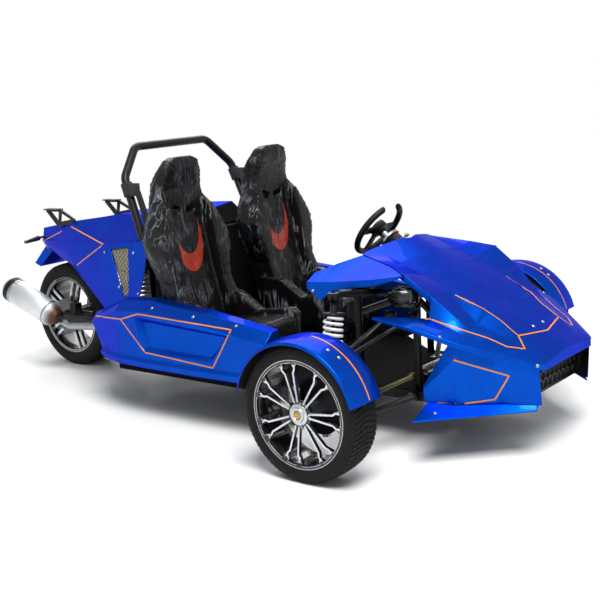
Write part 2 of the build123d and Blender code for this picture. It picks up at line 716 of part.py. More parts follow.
def make_rear_subframe(cowl_space):
    """Uprights under the roll bar and tail rails."""
    r, y, z = ROLL_FOOT
    frame = None
    for side in (-1, 1):
        upright = rod(rear(r, side * y, FLOOR_TOP), rear(r, side * y, z - 6), TOWER_R)
        upright = upright + solid_box(rear(r - 38, side * y - 32, z - 6), rear(r + 38, side * y + 32, z))
        tail = rod(rear(r, side * y, 655), rear(-60, side * 95, 735), 14)
        post = rod(rear(300, side * 185, 690), rear(300, side * 185, 980), 9) & cowl_space
        half = upright + tail + post
        frame = half if frame is None else frame + half
    frame = frame + rod(rear(r, -y, 655), rear(r, y, 655), 14)
    frame = frame + rod(rear(-60, -95, 735), rear(-60, 95, 735), 14)
    frame = frame + rod(rear(520, -258, 694), rear(520, 258, 694), 14)
    return frame


# Pod: place, then (y, z) round the section from the inner foot
POD_INNER = 530


def pod_row(inner, outer, top):
    """Closed section of a pod."""
    waist = outer - 12
    return [(inner, POD_BOTTOM), (inner, top), (outer - 62, top - 4), (waist, top - 48), (waist - 8, 302),
            (outer, 288), (outer - 6, 262), (outer - 14, POD_BOTTOM)]


def make_side_pod():
    """Side pod with its sunk panel, left-hand side."""
    rows = [
        (FRONT_X - 410, pod_row(POD_INNER, 640, 497)),
        (FRONT_X - 780, pod_row(POD_INNER, 652, 550)),
        (REAR_X + 1220, pod_row(POD_INNER, 652, 582)),
        (REAR_X + 1010, pod_row(POD_INNER - 12, 640, 566)),
        (REAR_X + 720, pod_row(450, 556, 470)),
    ]
    pod = loft_x(rows)
    heel = [(REAR_X + 880, 200), (REAR_X + 690, 500), (REAR_X + 500, 500), (REAR_X + 500, 200)]
    pod = pod - prism_y(heel, 300, 800)
    rim = [(FRONT_X - 1230, 512), (FRONT_X - 612, 474), (FRONT_X - 730, 322), (FRONT_X - 1196, 326)]
    middle_x = sum(x for x, z in rim) / 4
    middle_z = sum(z for x, z in rim) / 4
    floor = [(middle_x + (x - middle_x) * 0.9, middle_z + (z - middle_z) * 0.66) for x, z in rim]
    wires = []
    for outline, y in ((rim, 646), (floor, 606)):
        wires.append(Wire.make_polygon([Vector(x, y, z) for x, z in outline], close=True))
    return pod - Solid.make_loft(wires, True)


def make_bulkhead():
    """Wall behind the seats."""
    return solid_box(rear(1108, -398, FLOOR_TOP), rear(1113, 398, 835))


# Seat, as points from the rear axle: side views of the pan, its bolsters, the back and its wings
SEAT_PAN = [(1790, 330), (1796, 452), (1770, 470), (1380, 420), (1300, 430), (1262, 330)]
SEAT_BOLSTER = [(1780, 330), (1786, 478), (1750, 502), (1560, 480), (1420, 560), (1290, 560), (1262, 330)]
SEAT_SIDE = [(1350, 400), (1270, 720), (1232, 940), (1240, 1090), (1282, 1218), (1270, 1242), (1220, 1240),
             (1160, 1120), (1146, 940), (1182, 720), (1262, 400)]
SEAT_WING = [(1420, 500), (1350, 640), (1328, 790), (1310, 900), (1290, 1000), (1232, 1060), (1160, 1060),
             (1150, 940), (1186, 720), (1262, 400), (1350, 400)]
# Half outline of the back from the front: half width and height
SEAT_FRONT = [(183, 400), (178, 640), (192, 700), (220, 780), (222, 850), (192, 920), (156, 990), (146, 1060),
              (120, 1170), (86, 1226), (48, 1245)]
SEAT_WING_INNER = 128
HARNESS_HOLE = (48, 985, 58, 34)


def make_seat():
    """Bucket seat, left-hand side."""
    half = SEAT_WIDTH / 2
    seat = prism_y([(REAR_X + r, z) for r, z in SEAT_PAN], -half + 55, half - 55)
    for low, high in ((-half, -half + 55), (half - 55, half)):
        seat = seat + prism_y([(REAR_X + r, z) for r, z in SEAT_BOLSTER], low, high)
    seat = seat + solid_box(rear(1380, -half + 50, FLOOR_TOP), rear(1740, half - 50, 330))
    reach = SEAT_FRONT[4][0] + 10
    back = prism_y([(REAR_X + r, z) for r, z in SEAT_SIDE], -reach, reach)
    wing = prism_y([(REAR_X + r, z) for r, z in SEAT_WING], -reach, reach)
    gap = solid_box(rear(1000, -SEAT_WING_INNER, 300), rear(1600, SEAT_WING_INNER, 1100))
    outline = [(-y, z) for y, z in SEAT_FRONT] + SEAT_FRONT[::-1]
    mask = Solid.extrude(Face(outline_x(REAR_X + 1000, outline)), Vector(600, 0, 0))
    seat = seat + ((back + (wing - gap)) & mask)
    y, z, wide, high = HARNESS_HOLE
    for side in (-1, 1):
        plane = Plane(origin=rear(1000, side * y, z), x_dir=(0, 1, 0), z_dir=(1, 0, 0))
        seat = seat - extrude(plane * Rectangle(wide, high, rotation=side * 18), 600)
    return Pos(0, SEAT_Y, 0) * seat


def make_seat_belt(bar):
    """Retractor on the roll bar and webbing down to the sill, left-hand side."""
    r, y, z = ROLL_FOOT
    top = rear(r - (1080 - z) * ROLL_LEAN, 396, 1080)
    axis = Vector(-ROLL_LEAN, -25 / 436, 1).normalized()
    collar = rod(top - axis * 32, top + axis * 32, ROLL_BAR_R + 8)
    box = solid_box(top + Vector(12, -22, -30), top + Vector(62, 22, 30))
    wires = []
    for point in (top + Vector(56, -11, -10), rear(1138, 428, 770), rear(1150, 478, 300)):
        corners = [(-2, -20), (0, -20), (0, 20), (-2, 20)]
        wires.append(Wire.make_polygon([point + Vector(a, b, 0) for a, b in corners], close=True))
    strap = Solid.make_loft(wires, True)
    anchor = solid_box(rear(1138, 456, FLOOR_TOP), rear(1162, 480, 306))
    return collar + box + strap + anchor - bar


def column_axis():
    """Direction of the steering column towards the driver."""
    tilt = radians(COLUMN_TILT)
    return Vector(-cos(tilt), 0, sin(tilt))


def make_steering_column():
    """Column tube, with a bore for the wheel's shaft."""
    hub = front(*WHEEL_HUB)
    axis = column_axis()
    tube = rod(hub - axis * 420, hub - axis * 36, 17)
    return tube - rod(hub - axis * 160, hub, 9.05)


def make_steering_wheel():
    """Open-topped wheel with three spokes and a shaft."""
    hub = front(*WHEEL_HUB)
    axis = column_axis()
    plane = Plane(origin=hub, x_dir=(0, -1, 0), z_dir=axis)
    ring = Solid.make_torus(140, 15, plane)
    notch = extrude(plane * (Pos(0, 150) * Rectangle(132, 160)), 60, both=True)
    wheel = ring - notch
    wheel = wheel + extrude(plane * Circle(44), 14, both=True)
    for angle in (0, 180, 270):
        bar = plane * (Rot(0, 0, angle) * (Pos(82, 0) * Rectangle(116, 34)))
        wheel = wheel + extrude(bar, 5, both=True)
    wheel = wheel + rod(hub - axis * 35.5, hub, 24)
    return wheel + rod(hub - axis * 120, hub, 9)


def make_dash(tower, hood):
    """Dash plate behind the hood edge, with a gauge round the column."""
    line = [(-176, 646), (-164, 700), (-58, 776), (-46, 770), (-146, 696), (-158, 646)]
    dash = prism_y([(FRONT_X + f, z) for f, z in line], -306, 306)
    hub = front(*WHEEL_HUB)
    axis = column_axis()
    gauge = rod(hub - axis * 280, hub - axis * 80, 48)
    dash = dash + gauge
    dash = dash - rod(hub - axis * 520, hub, 17)
    return dash - tower - hood


def make_pedals():
    """Brake and throttle pedals on the floor."""
    pedals = None
    for y in (190, 300):
        pedal = solid_box(front(-75, y - 30, FLOOR_TOP), front(-35, y + 30, FLOOR_TOP + 12))
        line = [(-62, FLOOR_TOP + 6), (-48, FLOOR_TOP + 6), (-18, 380), (-62, 440), (-70, 432), (-34, 376)]
        pedal = pedal + prism_y([(FRONT_X + f, z) for f, z in line], y - 12, y + 12)
        pedals = pedal if pedals is None else pedals + pedal
    return pedals


def make_headlamp(tower):
    """Round lamp under the hood wing, left-hand side."""
    back = front(104, 360, 648)
    lamp = rod(back, back + Vector(86, 0, 0), 46) + rod(back - Vector(26, 0, 0), back, 30)
    stem = rod(back + Vector(30, 0, 0), front(138, TOWER_Y, TOWER_Z), 8)
    return lamp + stem - tower


def make_engine():
    """Plain engine block with an inclined cylinder."""
    case = solid_box(rear(PIVOT_R + 35, -150, RAIL_TOP), rear(PIVOT_R + 335, 108, 430))
    barrel = [(75, 430), (255, 430), (305, 610), (145, 640)]
    cylinder = prism_y([(REAR_X + PIVOT_R + r, z) for r, z in barrel], -110, 100)
    place = PIVOT_R + SPROCKET_R
    sprocket = rod(rear(place, 100, 318), rear(place, 119, 318), 34.5)
    return case + cylinder + sprocket


def make_exhaust():
    """Pipe from the engine to the muffler, on the right."""
    inlet = muffler_end() - muffler_axis() * MUFFLER_LENGTH
    port = PIVOT_R + 175
    points = [rear(port, -150, 335), rear(port, -215, 335), rear(port - 160, -246, 318)]
    points = points + [inlet - muffler_axis() * 90, inlet]
    return bent_tube(points, 21, 40)


MUFFLER_R = 72
MUFFLER_TIP_R = 58
MUFFLER_LENGTH = 390
MUFFLER_CONE = 58
MUFFLER_TIP = 14


def muffler_axis():
    """Direction of the muffler from its inlet to its end."""
    return Vector(-0.9, -0.1, 0.4).normalized()


def muffler_end():
    """End of the muffler's can, so that its tip just fills the tail reach."""
    axis = muffler_axis()
    reach = MUFFLER_TIP * abs(axis.X) + MUFFLER_TIP_R * sqrt(1 - axis.X ** 2)
    return rear(reach - TAIL_REACH, -300, 480)


def make_muffler(pipe):
    """Muffler with a cone, a can, an end cap and a tab on the swingarm."""
    axis = muffler_axis()
    end = muffler_end()
    start = end - axis * MUFFLER_LENGTH
    can = rod(start + axis * MUFFLER_CONE, end, MUFFLER_R)
    cone = Solid.make_cone(34, MUFFLER_R, MUFFLER_CONE, Plane(origin=start, z_dir=axis))
    tip = rod(end, end + axis * MUFFLER_TIP, MUFFLER_TIP_R)
    tab = solid_box(rear(-30, -242, 310), rear(0, -SWING_Y[1], 318))
    return can + cone + tip + tab - pipe


def make_rear_shock():
    """Single damper from the swingarm bridge to the subframe."""
    foot = rear(430, 0, 325)
    head = rear(520, 0, 680)
    axis = head - foot
    body = rod(foot + axis * 0.02, head, 12) + rod(foot + axis * 0.12, foot + axis * 0.85, 34)
    body = body - solid_box(rear(350, -80, 200), rear(600, 80, 325))
    return body - rod(rear(520, -300, 694), rear(520, 300, 694), 14)


def make_tail_flap(frame):
    """Plate that hangs from the tail."""
    line = [(-50, 726), (-110, 728), (-254, 598), (-205, 580), (-97, 664), (-60, 704)]
    return prism_y([(REAR_X + r, z) for r, z in line], -115, 115) - frame


def make_tail_lamp():
    """Lamp across the tail end."""
    return solid_box(rear(-98, -110, 752), rear(-70.3, 110, 814))


def make_turn_signal():
    """Stalk and lamp, left-hand side."""
    stalk = rod(rear(-84, 110.3, 768), rear(-84, 206, 768), 8)
    return stalk + Solid.make_cone(17, 9, 98, Plane(origin=rear(-84, 198, 768), z_dir=(0, 1, -0.12)))


PAD_HOLES = (60, 140, 229)
BRACKET_HOLES = [[(78, 926), (148, 926), (138, 874)], [(168, 920), (246, 886), (156, 872)]]


def make_wing_bracket(cowl_solid):
    """Bracket for a rear wing, left-hand side."""
    line = [(128, 842), (280, 864), (280, 888), (172, 938), (40, 938), (40, 926)]
    plate = prism_y([(REAR_X + r, z) for r, z in line], 212, 220)
    for hole in BRACKET_HOLES:
        plate = plate - prism_y([(REAR_X + r, z) for r, z in hole], 100, 300)
    pad = solid_box(rear(40, 194, 936), rear(160, 238, 942))
    for r in PAD_HOLES[:2]:
        pad = pad - rod(rear(r, PAD_HOLES[2], 900), rear(r, PAD_HOLES[2], 960), 4.5)
    return (plate + pad) - cowl_solid


def make_radiator():
    """Radiator on the front cross member."""
    return solid_box(front(415, -165, RAIL_TOP), front(455, 165, 398))


def make_brake_cup():
    """White fluid cup on a bracket at the tower."""
    cup = rod(front(-165, -352, 630), front(-165, -352, 684), 26)
    return cup + solid_box(front(-172, -352, 630), front(-150, -TOWER_Y - TOWER_R - 0.3, 640))


def make_coolant_bottle():
    """Bottle on the bulkhead between the seats."""
    bottle = solid_box(rear(1113, -34, 660), rear(1170, 34, 770))
    return bottle + rod(rear(1142, 0, 770), rear(1142, 0, 796), 17)


def both(name, shape):
    """Left and right pieces of one shape."""
    return {name + "_left": shape, name + "_right": mirrored(shape)}


def pair(shape):
    """Two mirrored solids in one piece."""
    return Compound(children=[*shape.solids(), *mirrored(shape).solids()])


def make_all():
    """Every piece by its node name."""
    hood, hood_space = make_hood()
    panel = make_nose_panel(hood_space)
    pod = make_side_pod()
    cowl, cowl_space = make_tail_cowl()
    quarter = make_quarter_panel(pod)
    lower, upper = make_suspension_arms()
    column = make_steering_column()
    pipe = make_exhaust()
    arm = make_swingarm()
    bar = make_roll_bar()
    tower = make_front_tower(hood_space)
    frame = make_rear_subframe(cowl_space)
    pieces = {
        "frame_rails": make_frame_rails(),
        "floor_pan": make_floor_pan(),
        "front_tower": tower,
        "rear_subframe": frame,
        "roll_bar": bar,
        "bulkhead": make_bulkhead(),
        "hood": hood,
        "splitters": pair(make_splitter(panel)),
        "grille": make_grille(),
        "tail_cowl": cowl - quarter - mirrored(quarter),
        "vent_meshes": pair(make_vent_mesh()),
        "tail_flap": make_tail_flap(frame),
        "tail_lamp": make_tail_lamp(),
        "turn_signals": pair(make_turn_signal()),
        "wing_brackets": pair(make_wing_bracket(cowl + cowl_space)),
        "seat_belts": pair(make_seat_belt(bar)),
        "dash": make_dash(tower, hood),
        "steering_column": column,
        "steering_wheel": make_steering_wheel(),
        "pedals": make_pedals(),
        "headlamps": pair(make_headlamp(tower)),
        "engine": make_engine(),
        "exhaust_pipe": pipe,
        "muffler": make_muffler(pipe),
        "swingarm": arm,
        "rear_shock": make_rear_shock(),
        "drive_chain": make_drive_chain(),
        "radiator": make_radiator(),
        "lower_arms": pair(lower),
        "upper_arms": pair(upper),
        "shock_bodies": pair(make_shock()),
        "shock_springs": pair(make_spring()),
        "rack_housing": make_rack_housing(),
        "tie_rods": make_tie_rods(),
        "brake_cup": make_brake_cup(),
        "coolant_bottle": make_coolant_bottle(),
        "rear_rim": make_rear_rim(),
        "rear_tyre": make_tyre(Vector(REAR_X, 0, REAR_TYRE_R), REAR_TYRE_R, REAR_TYRE_W, REAR_BEAD),
    }
    front_centre = Vector(FRONT_X, WHEEL_Y, HUB_Z)
    pieces.update(both("hood_wing", make_hood_wing(hood)))
    pieces.update(both("nose_panel", panel))
    pieces.update(both("side_pod", pod))
    pieces.update(both("quarter_panel", quarter))
    pieces.update(both("seat", make_seat()))
    fender = make_fender()
    pieces.update(both("knuckle", make_knuckle(fender)))
    pieces.update(both("fender", fender))
    pieces.update(both("front_hub", make_hub()))
    pieces.update(both("front_rim", make_front_rim()))
    pieces.update(both("front_tyre", make_tyre(front_centre, FRONT_TYRE_R, FRONT_TYRE_W, FRONT_BEAD)))
    return pieces


os.makedirs("parts", exist_ok=True)
for node, piece in make_all().items():
    export_step(piece, "parts/" + node + ".step")
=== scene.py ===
"""Looks of a two-seat reverse trike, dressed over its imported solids.

Places are metres in the frame's own axes: X forward, Y left, Z up, ground at zero.
Names that end in _mm are millimetres. The right side is built and the left side mirrors it.
"""

import json
import logging
import math
from dataclasses import dataclass, field
from enum import Enum
from typing import Iterable, Sequence

import bmesh
import bpy
from bmesh.types import BMesh
from bpy.types import Material, Node, NodeOutputs, NodeSocket, NodeTree, Object
from mathutils import Matrix, Vector
from mathutils.bvhtree import BVHTree


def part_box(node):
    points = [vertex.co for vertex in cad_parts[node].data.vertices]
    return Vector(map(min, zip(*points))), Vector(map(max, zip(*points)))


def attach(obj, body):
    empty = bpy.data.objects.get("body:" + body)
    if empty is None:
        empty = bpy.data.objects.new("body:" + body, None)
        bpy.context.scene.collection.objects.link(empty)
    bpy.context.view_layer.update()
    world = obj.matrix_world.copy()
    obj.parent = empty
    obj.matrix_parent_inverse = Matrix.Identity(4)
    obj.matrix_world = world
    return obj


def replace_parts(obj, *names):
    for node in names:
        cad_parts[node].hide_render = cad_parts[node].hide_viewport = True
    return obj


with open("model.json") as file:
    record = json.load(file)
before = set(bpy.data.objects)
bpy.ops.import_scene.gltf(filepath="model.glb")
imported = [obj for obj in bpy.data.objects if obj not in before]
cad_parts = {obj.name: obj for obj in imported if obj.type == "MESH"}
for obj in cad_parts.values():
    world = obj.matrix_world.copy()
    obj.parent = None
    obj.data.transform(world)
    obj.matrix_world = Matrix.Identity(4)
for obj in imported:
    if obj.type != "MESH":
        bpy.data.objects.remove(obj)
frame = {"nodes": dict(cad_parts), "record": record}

Pair = tuple[float, float]
Pairs = tuple[Pair, ...]
Point = tuple[float, float, float]

LOG = logging.getLogger("reverse_trike")
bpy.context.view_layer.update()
NODES: dict[str, Object] = frame["nodes"]
SLOT_OF_NODE = {part["node"]: part["material_slot"] for part in frame["record"]["subparts"]}
BODY_OF_NODE = {
    node: body for body, members in frame["record"]["behaviour"]["bodies"].items() for node in members
}
MM = 0.001
MERGE_GAP = 0.00002
SHARP_ANGLE = math.radians(32)
# Values between which most of a noise texture lies.
NOISE_LOW, NOISE_HIGH = 0.3, 0.7
# Grains across one patch of even gloss.
PATCH_GRAINS = 9
# Roughness that no finish goes below.
SMOOTHEST = 0.02
# Radians that a wave texture runs through per metre at scale one. Sizes given to it are one radian wide.
WAVE_RADIANS = 20.0
UP = Vector((0, 0, 1))
# Direction of the muffler from its inlet to its outlet.
SILENCER_AXIS: Point = (-0.9091, -0.1010, 0.4041)


class Side(Enum):
    """A side of the vehicle, with the sign that Y has there."""

    RIGHT = -1
    LEFT = 1

    @property
    def tag(self) -> str:
        """The ending that node names have on this side."""
        return self.name.lower()


class Region(Enum):
    """Which faces of a wheel are turned bright on the lathe."""

    BOTH_SIDES = "both"
    RIGHT_SIDE = "right"


def linear(code: str) -> tuple[float, float, float, float]:
    """Turn an sRGB hex colour to linear RGBA.

    Args:
        code: colour such as "#1a2b3c".

    Returns:
        Linear red, green, blue and an alpha of one.
    """
    parts = [int(code[i:i + 2], 16) / 255 for i in (1, 3, 5)]
    red, green, blue = (c / 12.92 if c <= 0.04045 else ((c + 0.055) / 1.055) ** 2.4 for c in parts)
    return red, green, blue, 1.0


def per_metre(size_mm: float) -> float:
    """Texture scale that makes one feature of a pattern this many millimetres wide."""
    return 1.0 / (size_mm * MM)


def add_node(tree: NodeTree, kind: str, values: dict | None = None,
             links: dict | None = None, **settings: object) -> NodeOutputs:
    """Add a shader node with its settings, constant inputs and links.

    Args:
        tree: node tree that gets the node.
        kind: node type, without the ShaderNode prefix.
        values: constant value of each named or numbered input.
        links: output socket that feeds each named or numbered input.
        settings: properties of the node itself.

    Returns:
        The new node's outputs.
    """
    node = tree.nodes.new("ShaderNode" + kind)
    for name, value in settings.items():
        setattr(node, name, value)
    for key, value in (values or {}).items():
        node.inputs[key].default_value = value
    for key, source in (links or {}).items():
        tree.links.new(source, node.inputs[key])
    return node.outputs


@dataclass(frozen=True)
class Finish:
    """A surface finish: mottled colour, uneven gloss and a fine relief, all on Object coordinates.

    Subclasses change how the colour or the relief is made.
    """

    name: str
    colour: str
    shade: str
    metallic: float = 0.0
    roughness: float = 0.5
    unevenness: float = 0.12
    grain_mm: float = 3.0
    relief_mm: float = 0.15
    mottle_mm: float = 90.0
    coat: float = 0.0
    coat_roughness: float = 0.04
    edge_mm: float = 2.5
    coat_ior: float = 1.5
    specular: float = 0.5
    edge_tint: str = "#ffffff"

    def material(self) -> Material:
        """The finish's material, built the first time that it is asked for.

        Returns:
            Material with its nodes in place.
        """
        made = bpy.data.materials.get(self.name)
        if made:
            return made
        made = bpy.data.materials.new(self.name)
        made.use_nodes = True
        made.diffuse_color = linear(self.colour)
        tree = made.node_tree
        tree.nodes.clear()
        place = add_node(tree, "TexCoord")["Object"]
        lit = add_node(tree, "BsdfPrincipled", {
            "Metallic": self.metallic,
            "Coat Weight": self.coat,
            "Coat Roughness": self.coat_roughness,
            "Coat IOR": self.coat_ior,
            "Specular IOR Level": self.specular,
            "Specular Tint": linear(self.edge_tint),
        })["BSDF"]
        shader = lit.node
        for name, make in (("Base Color", self.tint), ("Roughness", self.gloss), ("Normal", self.relief)):
            tree.links.new(make(tree, place), shader.inputs[name])
        self.finish_shader(tree, place, shader)
        add_node(tree, "OutputMaterial", links={"Surface": lit})
        return made

    def tint(self, tree: NodeTree, place: NodeSocket) -> NodeSocket:
        """Colour that drifts between two tones over the mottle size.

        Args:
            tree: the material's nodes.
            place: Object coordinates.

        Returns:
            Colour socket.
        """
        noise = {"Scale": per_metre(self.mottle_mm), "Detail": 4.0}
        drift = add_node(tree, "TexNoise", noise, {"Vector": place})["Fac"]
        tones = {6: linear(self.colour), 7: linear(self.shade)}
        return add_node(tree, "Mix", tones, {0: drift}, data_type="RGBA")[2]

    def gloss(self, tree: NodeTree, place: NodeSocket) -> NodeSocket:
        """Roughness that varies in patches several grains wide.

        Args:
            tree: the material's nodes.
            place: Object coordinates.

        Returns:
            Roughness socket.
        """
        noise = {"Scale": per_metre(self.grain_mm * PATCH_GRAINS), "Detail": 5.0}
        patches = add_node(tree, "TexNoise", noise, {"Vector": place})["Fac"]
        return add_node(tree, "MapRange", {
            "From Min": NOISE_LOW,
            "From Max": NOISE_HIGH,
            "To Min": max(SMOOTHEST, self.roughness - self.unevenness),
            "To Max": min(1.0, self.roughness + self.unevenness),
        }, {"Value": patches})["Result"]

    def relief(self, tree: NodeTree, place: NodeSocket) -> NodeSocket:
        """Fine grain on edges that are eased by a small radius.

        Args:
            tree: the material's nodes.
            place: Object coordinates.

        Returns:
            Normal socket.
        """
        noise = {"Scale": per_metre(self.grain_mm), "Detail": 3.0}
        grain = add_node(tree, "TexNoise", noise, {"Vector": place})["Fac"]
        eased = add_node(tree, "Bevel", {"Radius": self.edge_mm * MM}, samples=4)["Normal"]
        return add_node(tree, "Bump", {"Strength": 0.6, "Distance": self.relief_mm * MM},
                        {"Height": grain, "Normal": eased})["Normal"]

    def finish_shader(self, tree: NodeTree, place: NodeSocket, shader: Node) -> None:
        """Hook for what only one finish adds to the shader.

        Args:
            tree: the material's nodes.
            place: Object coordinates.
            shader: the Principled shader.
        """


@dataclass(frozen=True)
class CandyLacquer(Finish):
    """Blue candy lacquer over metal flake: each flake catches the light by itself under a wet clear coat."""

    flake: str = "#0066e6"
    flake_mm: float = 4.0
    dull_share: float = 0.55
    flake_strength: float = 0.3

    def tint(self, tree: NodeTree, place: NodeSocket) -> NodeSocket:
        """Base colour with single flakes, drawn some ten times coarser than real so that they show.

        Args:
            tree: the material's nodes.
            place: Object coordinates.

        Returns:
            Colour socket.
        """
        base = Finish.tint(self, tree, place)
        cells = add_node(tree, "TexVoronoi", {"Scale": per_metre(self.flake_mm)}, {"Vector": place})["Color"]
        bright = add_node(tree, "MapRange", {"From Min": self.dull_share, "To Max": self.flake_strength},
                          {"Value": cells})["Result"]
        return add_node(tree, "Mix", {7: linear(self.flake)}, {0: bright, 6: base}, data_type="RGBA")[2]


@dataclass(frozen=True)
class TurnedWheel(Finish):
    """Gloss black wheel paint with the spoke faces and the lip turned bright on a lathe."""

    bright: str = "#c9cbd0"
    face_from: float = 0.0
    axle: Point = (0.0, 0.0, 0.0)
    spokes: Pair = (0.0, 0.2095)
    lip: Pair = (0.2188, 0.2205)
    region: Region = Region.BOTH_SIDES
    turning_mm: float = 2.0
    bright_roughness: float = 0.24
    ring_contrast: float = 0.1
    faced_share: float = 0.9

    def bright_mask(self, tree: NodeTree, place: NodeSocket) -> NodeSocket:
        """One on the outward faces that the lathe has cut, and zero elsewhere.

        Args:
            tree: the material's nodes.
            place: Object coordinates.

        Returns:
            Mask socket.
        """
        across = add_node(tree, "SeparateXYZ", links={"Vector": place})["Y"]
        normal = add_node(tree, "TexCoord")["Normal"]
        sideways = add_node(tree, "SeparateXYZ", links={"Vector": normal})["Y"]
        if self.region is Region.RIGHT_SIDE:
            outward = add_node(tree, "Math", {1: -self.face_from}, {0: sideways}, operation="MULTIPLY")[0]
        else:
            outward = add_node(tree, "Math", links={0: across, 1: sideways}, operation="MULTIPLY")[0]
        least = {1: self.faced_share * self.face_from}
        faced = add_node(tree, "Math", least, {0: outward}, operation="GREATER_THAN")[0]
        reach = add_node(tree, "Math", links={0: across}, operation="ABSOLUTE")[0]
        cut = add_node(tree, "Math", {1: self.face_from}, {0: reach}, operation="GREATER_THAN")[0]
        offset = add_node(tree, "VectorMath", {1: self.axle}, {0: place}, operation="SUBTRACT")[0]
        flat = add_node(tree, "VectorMath", {1: (1.0, 0.0, 1.0)}, {0: offset}, operation="MULTIPLY")[0]
        far = add_node(tree, "VectorMath", links={0: flat}, operation="LENGTH")["Value"]
        spoke, ring = (
            add_node(tree, "Math", {1: (low + high) / 2, 2: (high - low) / 2}, {0: far},
                     operation="COMPARE")[0] for low, high in (self.spokes, self.lip))
        turned = add_node(tree, "Math", links={0: spoke, 1: ring}, operation="MAXIMUM")[0]
        bright = add_node(tree, "Math", links={0: faced, 1: cut}, operation="MULTIPLY")[0]
        return add_node(tree, "Math", links={0: bright, 1: turned}, operation="MULTIPLY")[0]

    def finish_shader(self, tree: NodeTree, place: NodeSocket, shader: Node) -> None:
        """Mix the bright metal in where the mask is one, with turning rings in its gloss.

        Args:
            tree: the material's nodes.
            place: Object coordinates.
            shader: the Principled shader.
        """
        mask = self.bright_mask(tree, place)
        black, dull = (shader.inputs[name].links[0].from_socket for name in ("Base Color", "Roughness"))
        colour = add_node(tree, "Mix", {7: linear(self.bright)}, {0: mask, 6: black}, data_type="RGBA")[2]
        wave = {"Scale": per_metre(self.turning_mm) / WAVE_RADIANS, "Distortion": 0.6}
        rings = add_node(tree, "TexWave", wave, {"Vector": place}, wave_type="RINGS",
                         rings_direction="Y")["Fac"]
        gloss = {"To Min": self.bright_roughness, "To Max": self.bright_roughness + self.ring_contrast}
        turned = add_node(tree, "MapRange", gloss, {"Value": rings})["Result"]
        rough = add_node(tree, "Mix", links={0: mask, 2: dull, 3: turned}, data_type="FLOAT")[0]
        for name, source in (("Base Color", colour), ("Roughness", rough), ("Metallic", mask)):
            tree.links.new(source, shader.inputs[name])


@dataclass(frozen=True)
class HeatTintedSteel(Finish):
    """Brushed stainless steel can whose inlet cone is browned by heat."""

    tint_colour: str = "#5b4233"
    axis: Point = SILENCER_AXIS
    inlet: Point = (-1.289, -0.261, 0.322)
    cone: float = 0.075
    browned: float = 0.02

    def tint(self, tree: NodeTree, place: NodeSocket) -> NodeSocket:
        """Steel colour that goes brown towards the inlet.

        Args:
            tree: the material's nodes.
            place: Object coordinates.

        Returns:
            Colour socket.
        """
        steel = Finish.tint(self, tree, place)
        offset = add_node(tree, "VectorMath", {1: self.inlet}, {0: place}, operation="SUBTRACT")[0]
        along = add_node(tree, "VectorMath", {1: self.axis}, {0: offset}, operation="DOT_PRODUCT")["Value"]
        heat = add_node(tree, "MapRange", {"From Min": self.cone, "From Max": self.browned}, {"Value": along},
                        interpolation_type="SMOOTHSTEP")["Result"]
        return add_node(tree, "Mix", {7: linear(self.tint_colour)}, {0: heat, 6: steel}, data_type="RGBA")[2]


@dataclass(frozen=True)
class WovenWebbing(Finish):
    """Polyester belt webbing in a herringbone of fine ribs."""

    rib_mm: float = 3.0
    rib_depth_mm: float = 0.5

    def relief(self, tree: NodeTree, place: NodeSocket) -> NodeSocket:
        """Ribs across two slants, drawn far coarser than real so that they show.

        Args:
            tree: the material's nodes.
            place: Object coordinates.

        Returns:
            Normal socket.
        """
        first, second = (
            add_node(tree, "TexWave", {"Scale": per_metre(self.rib_mm) / WAVE_RADIANS}, {"Vector": place},
                     bands_direction=slant)["Fac"] for slant in ("DIAGONAL", "Z"))
        woven = add_node(tree, "Math", links={0: first, 1: second}, operation="MULTIPLY")[0]
        ribs = {"Strength": 0.8, "Distance": self.rib_depth_mm * MM}
        return add_node(tree, "Bump", ribs, {"Height": woven})["Normal"]


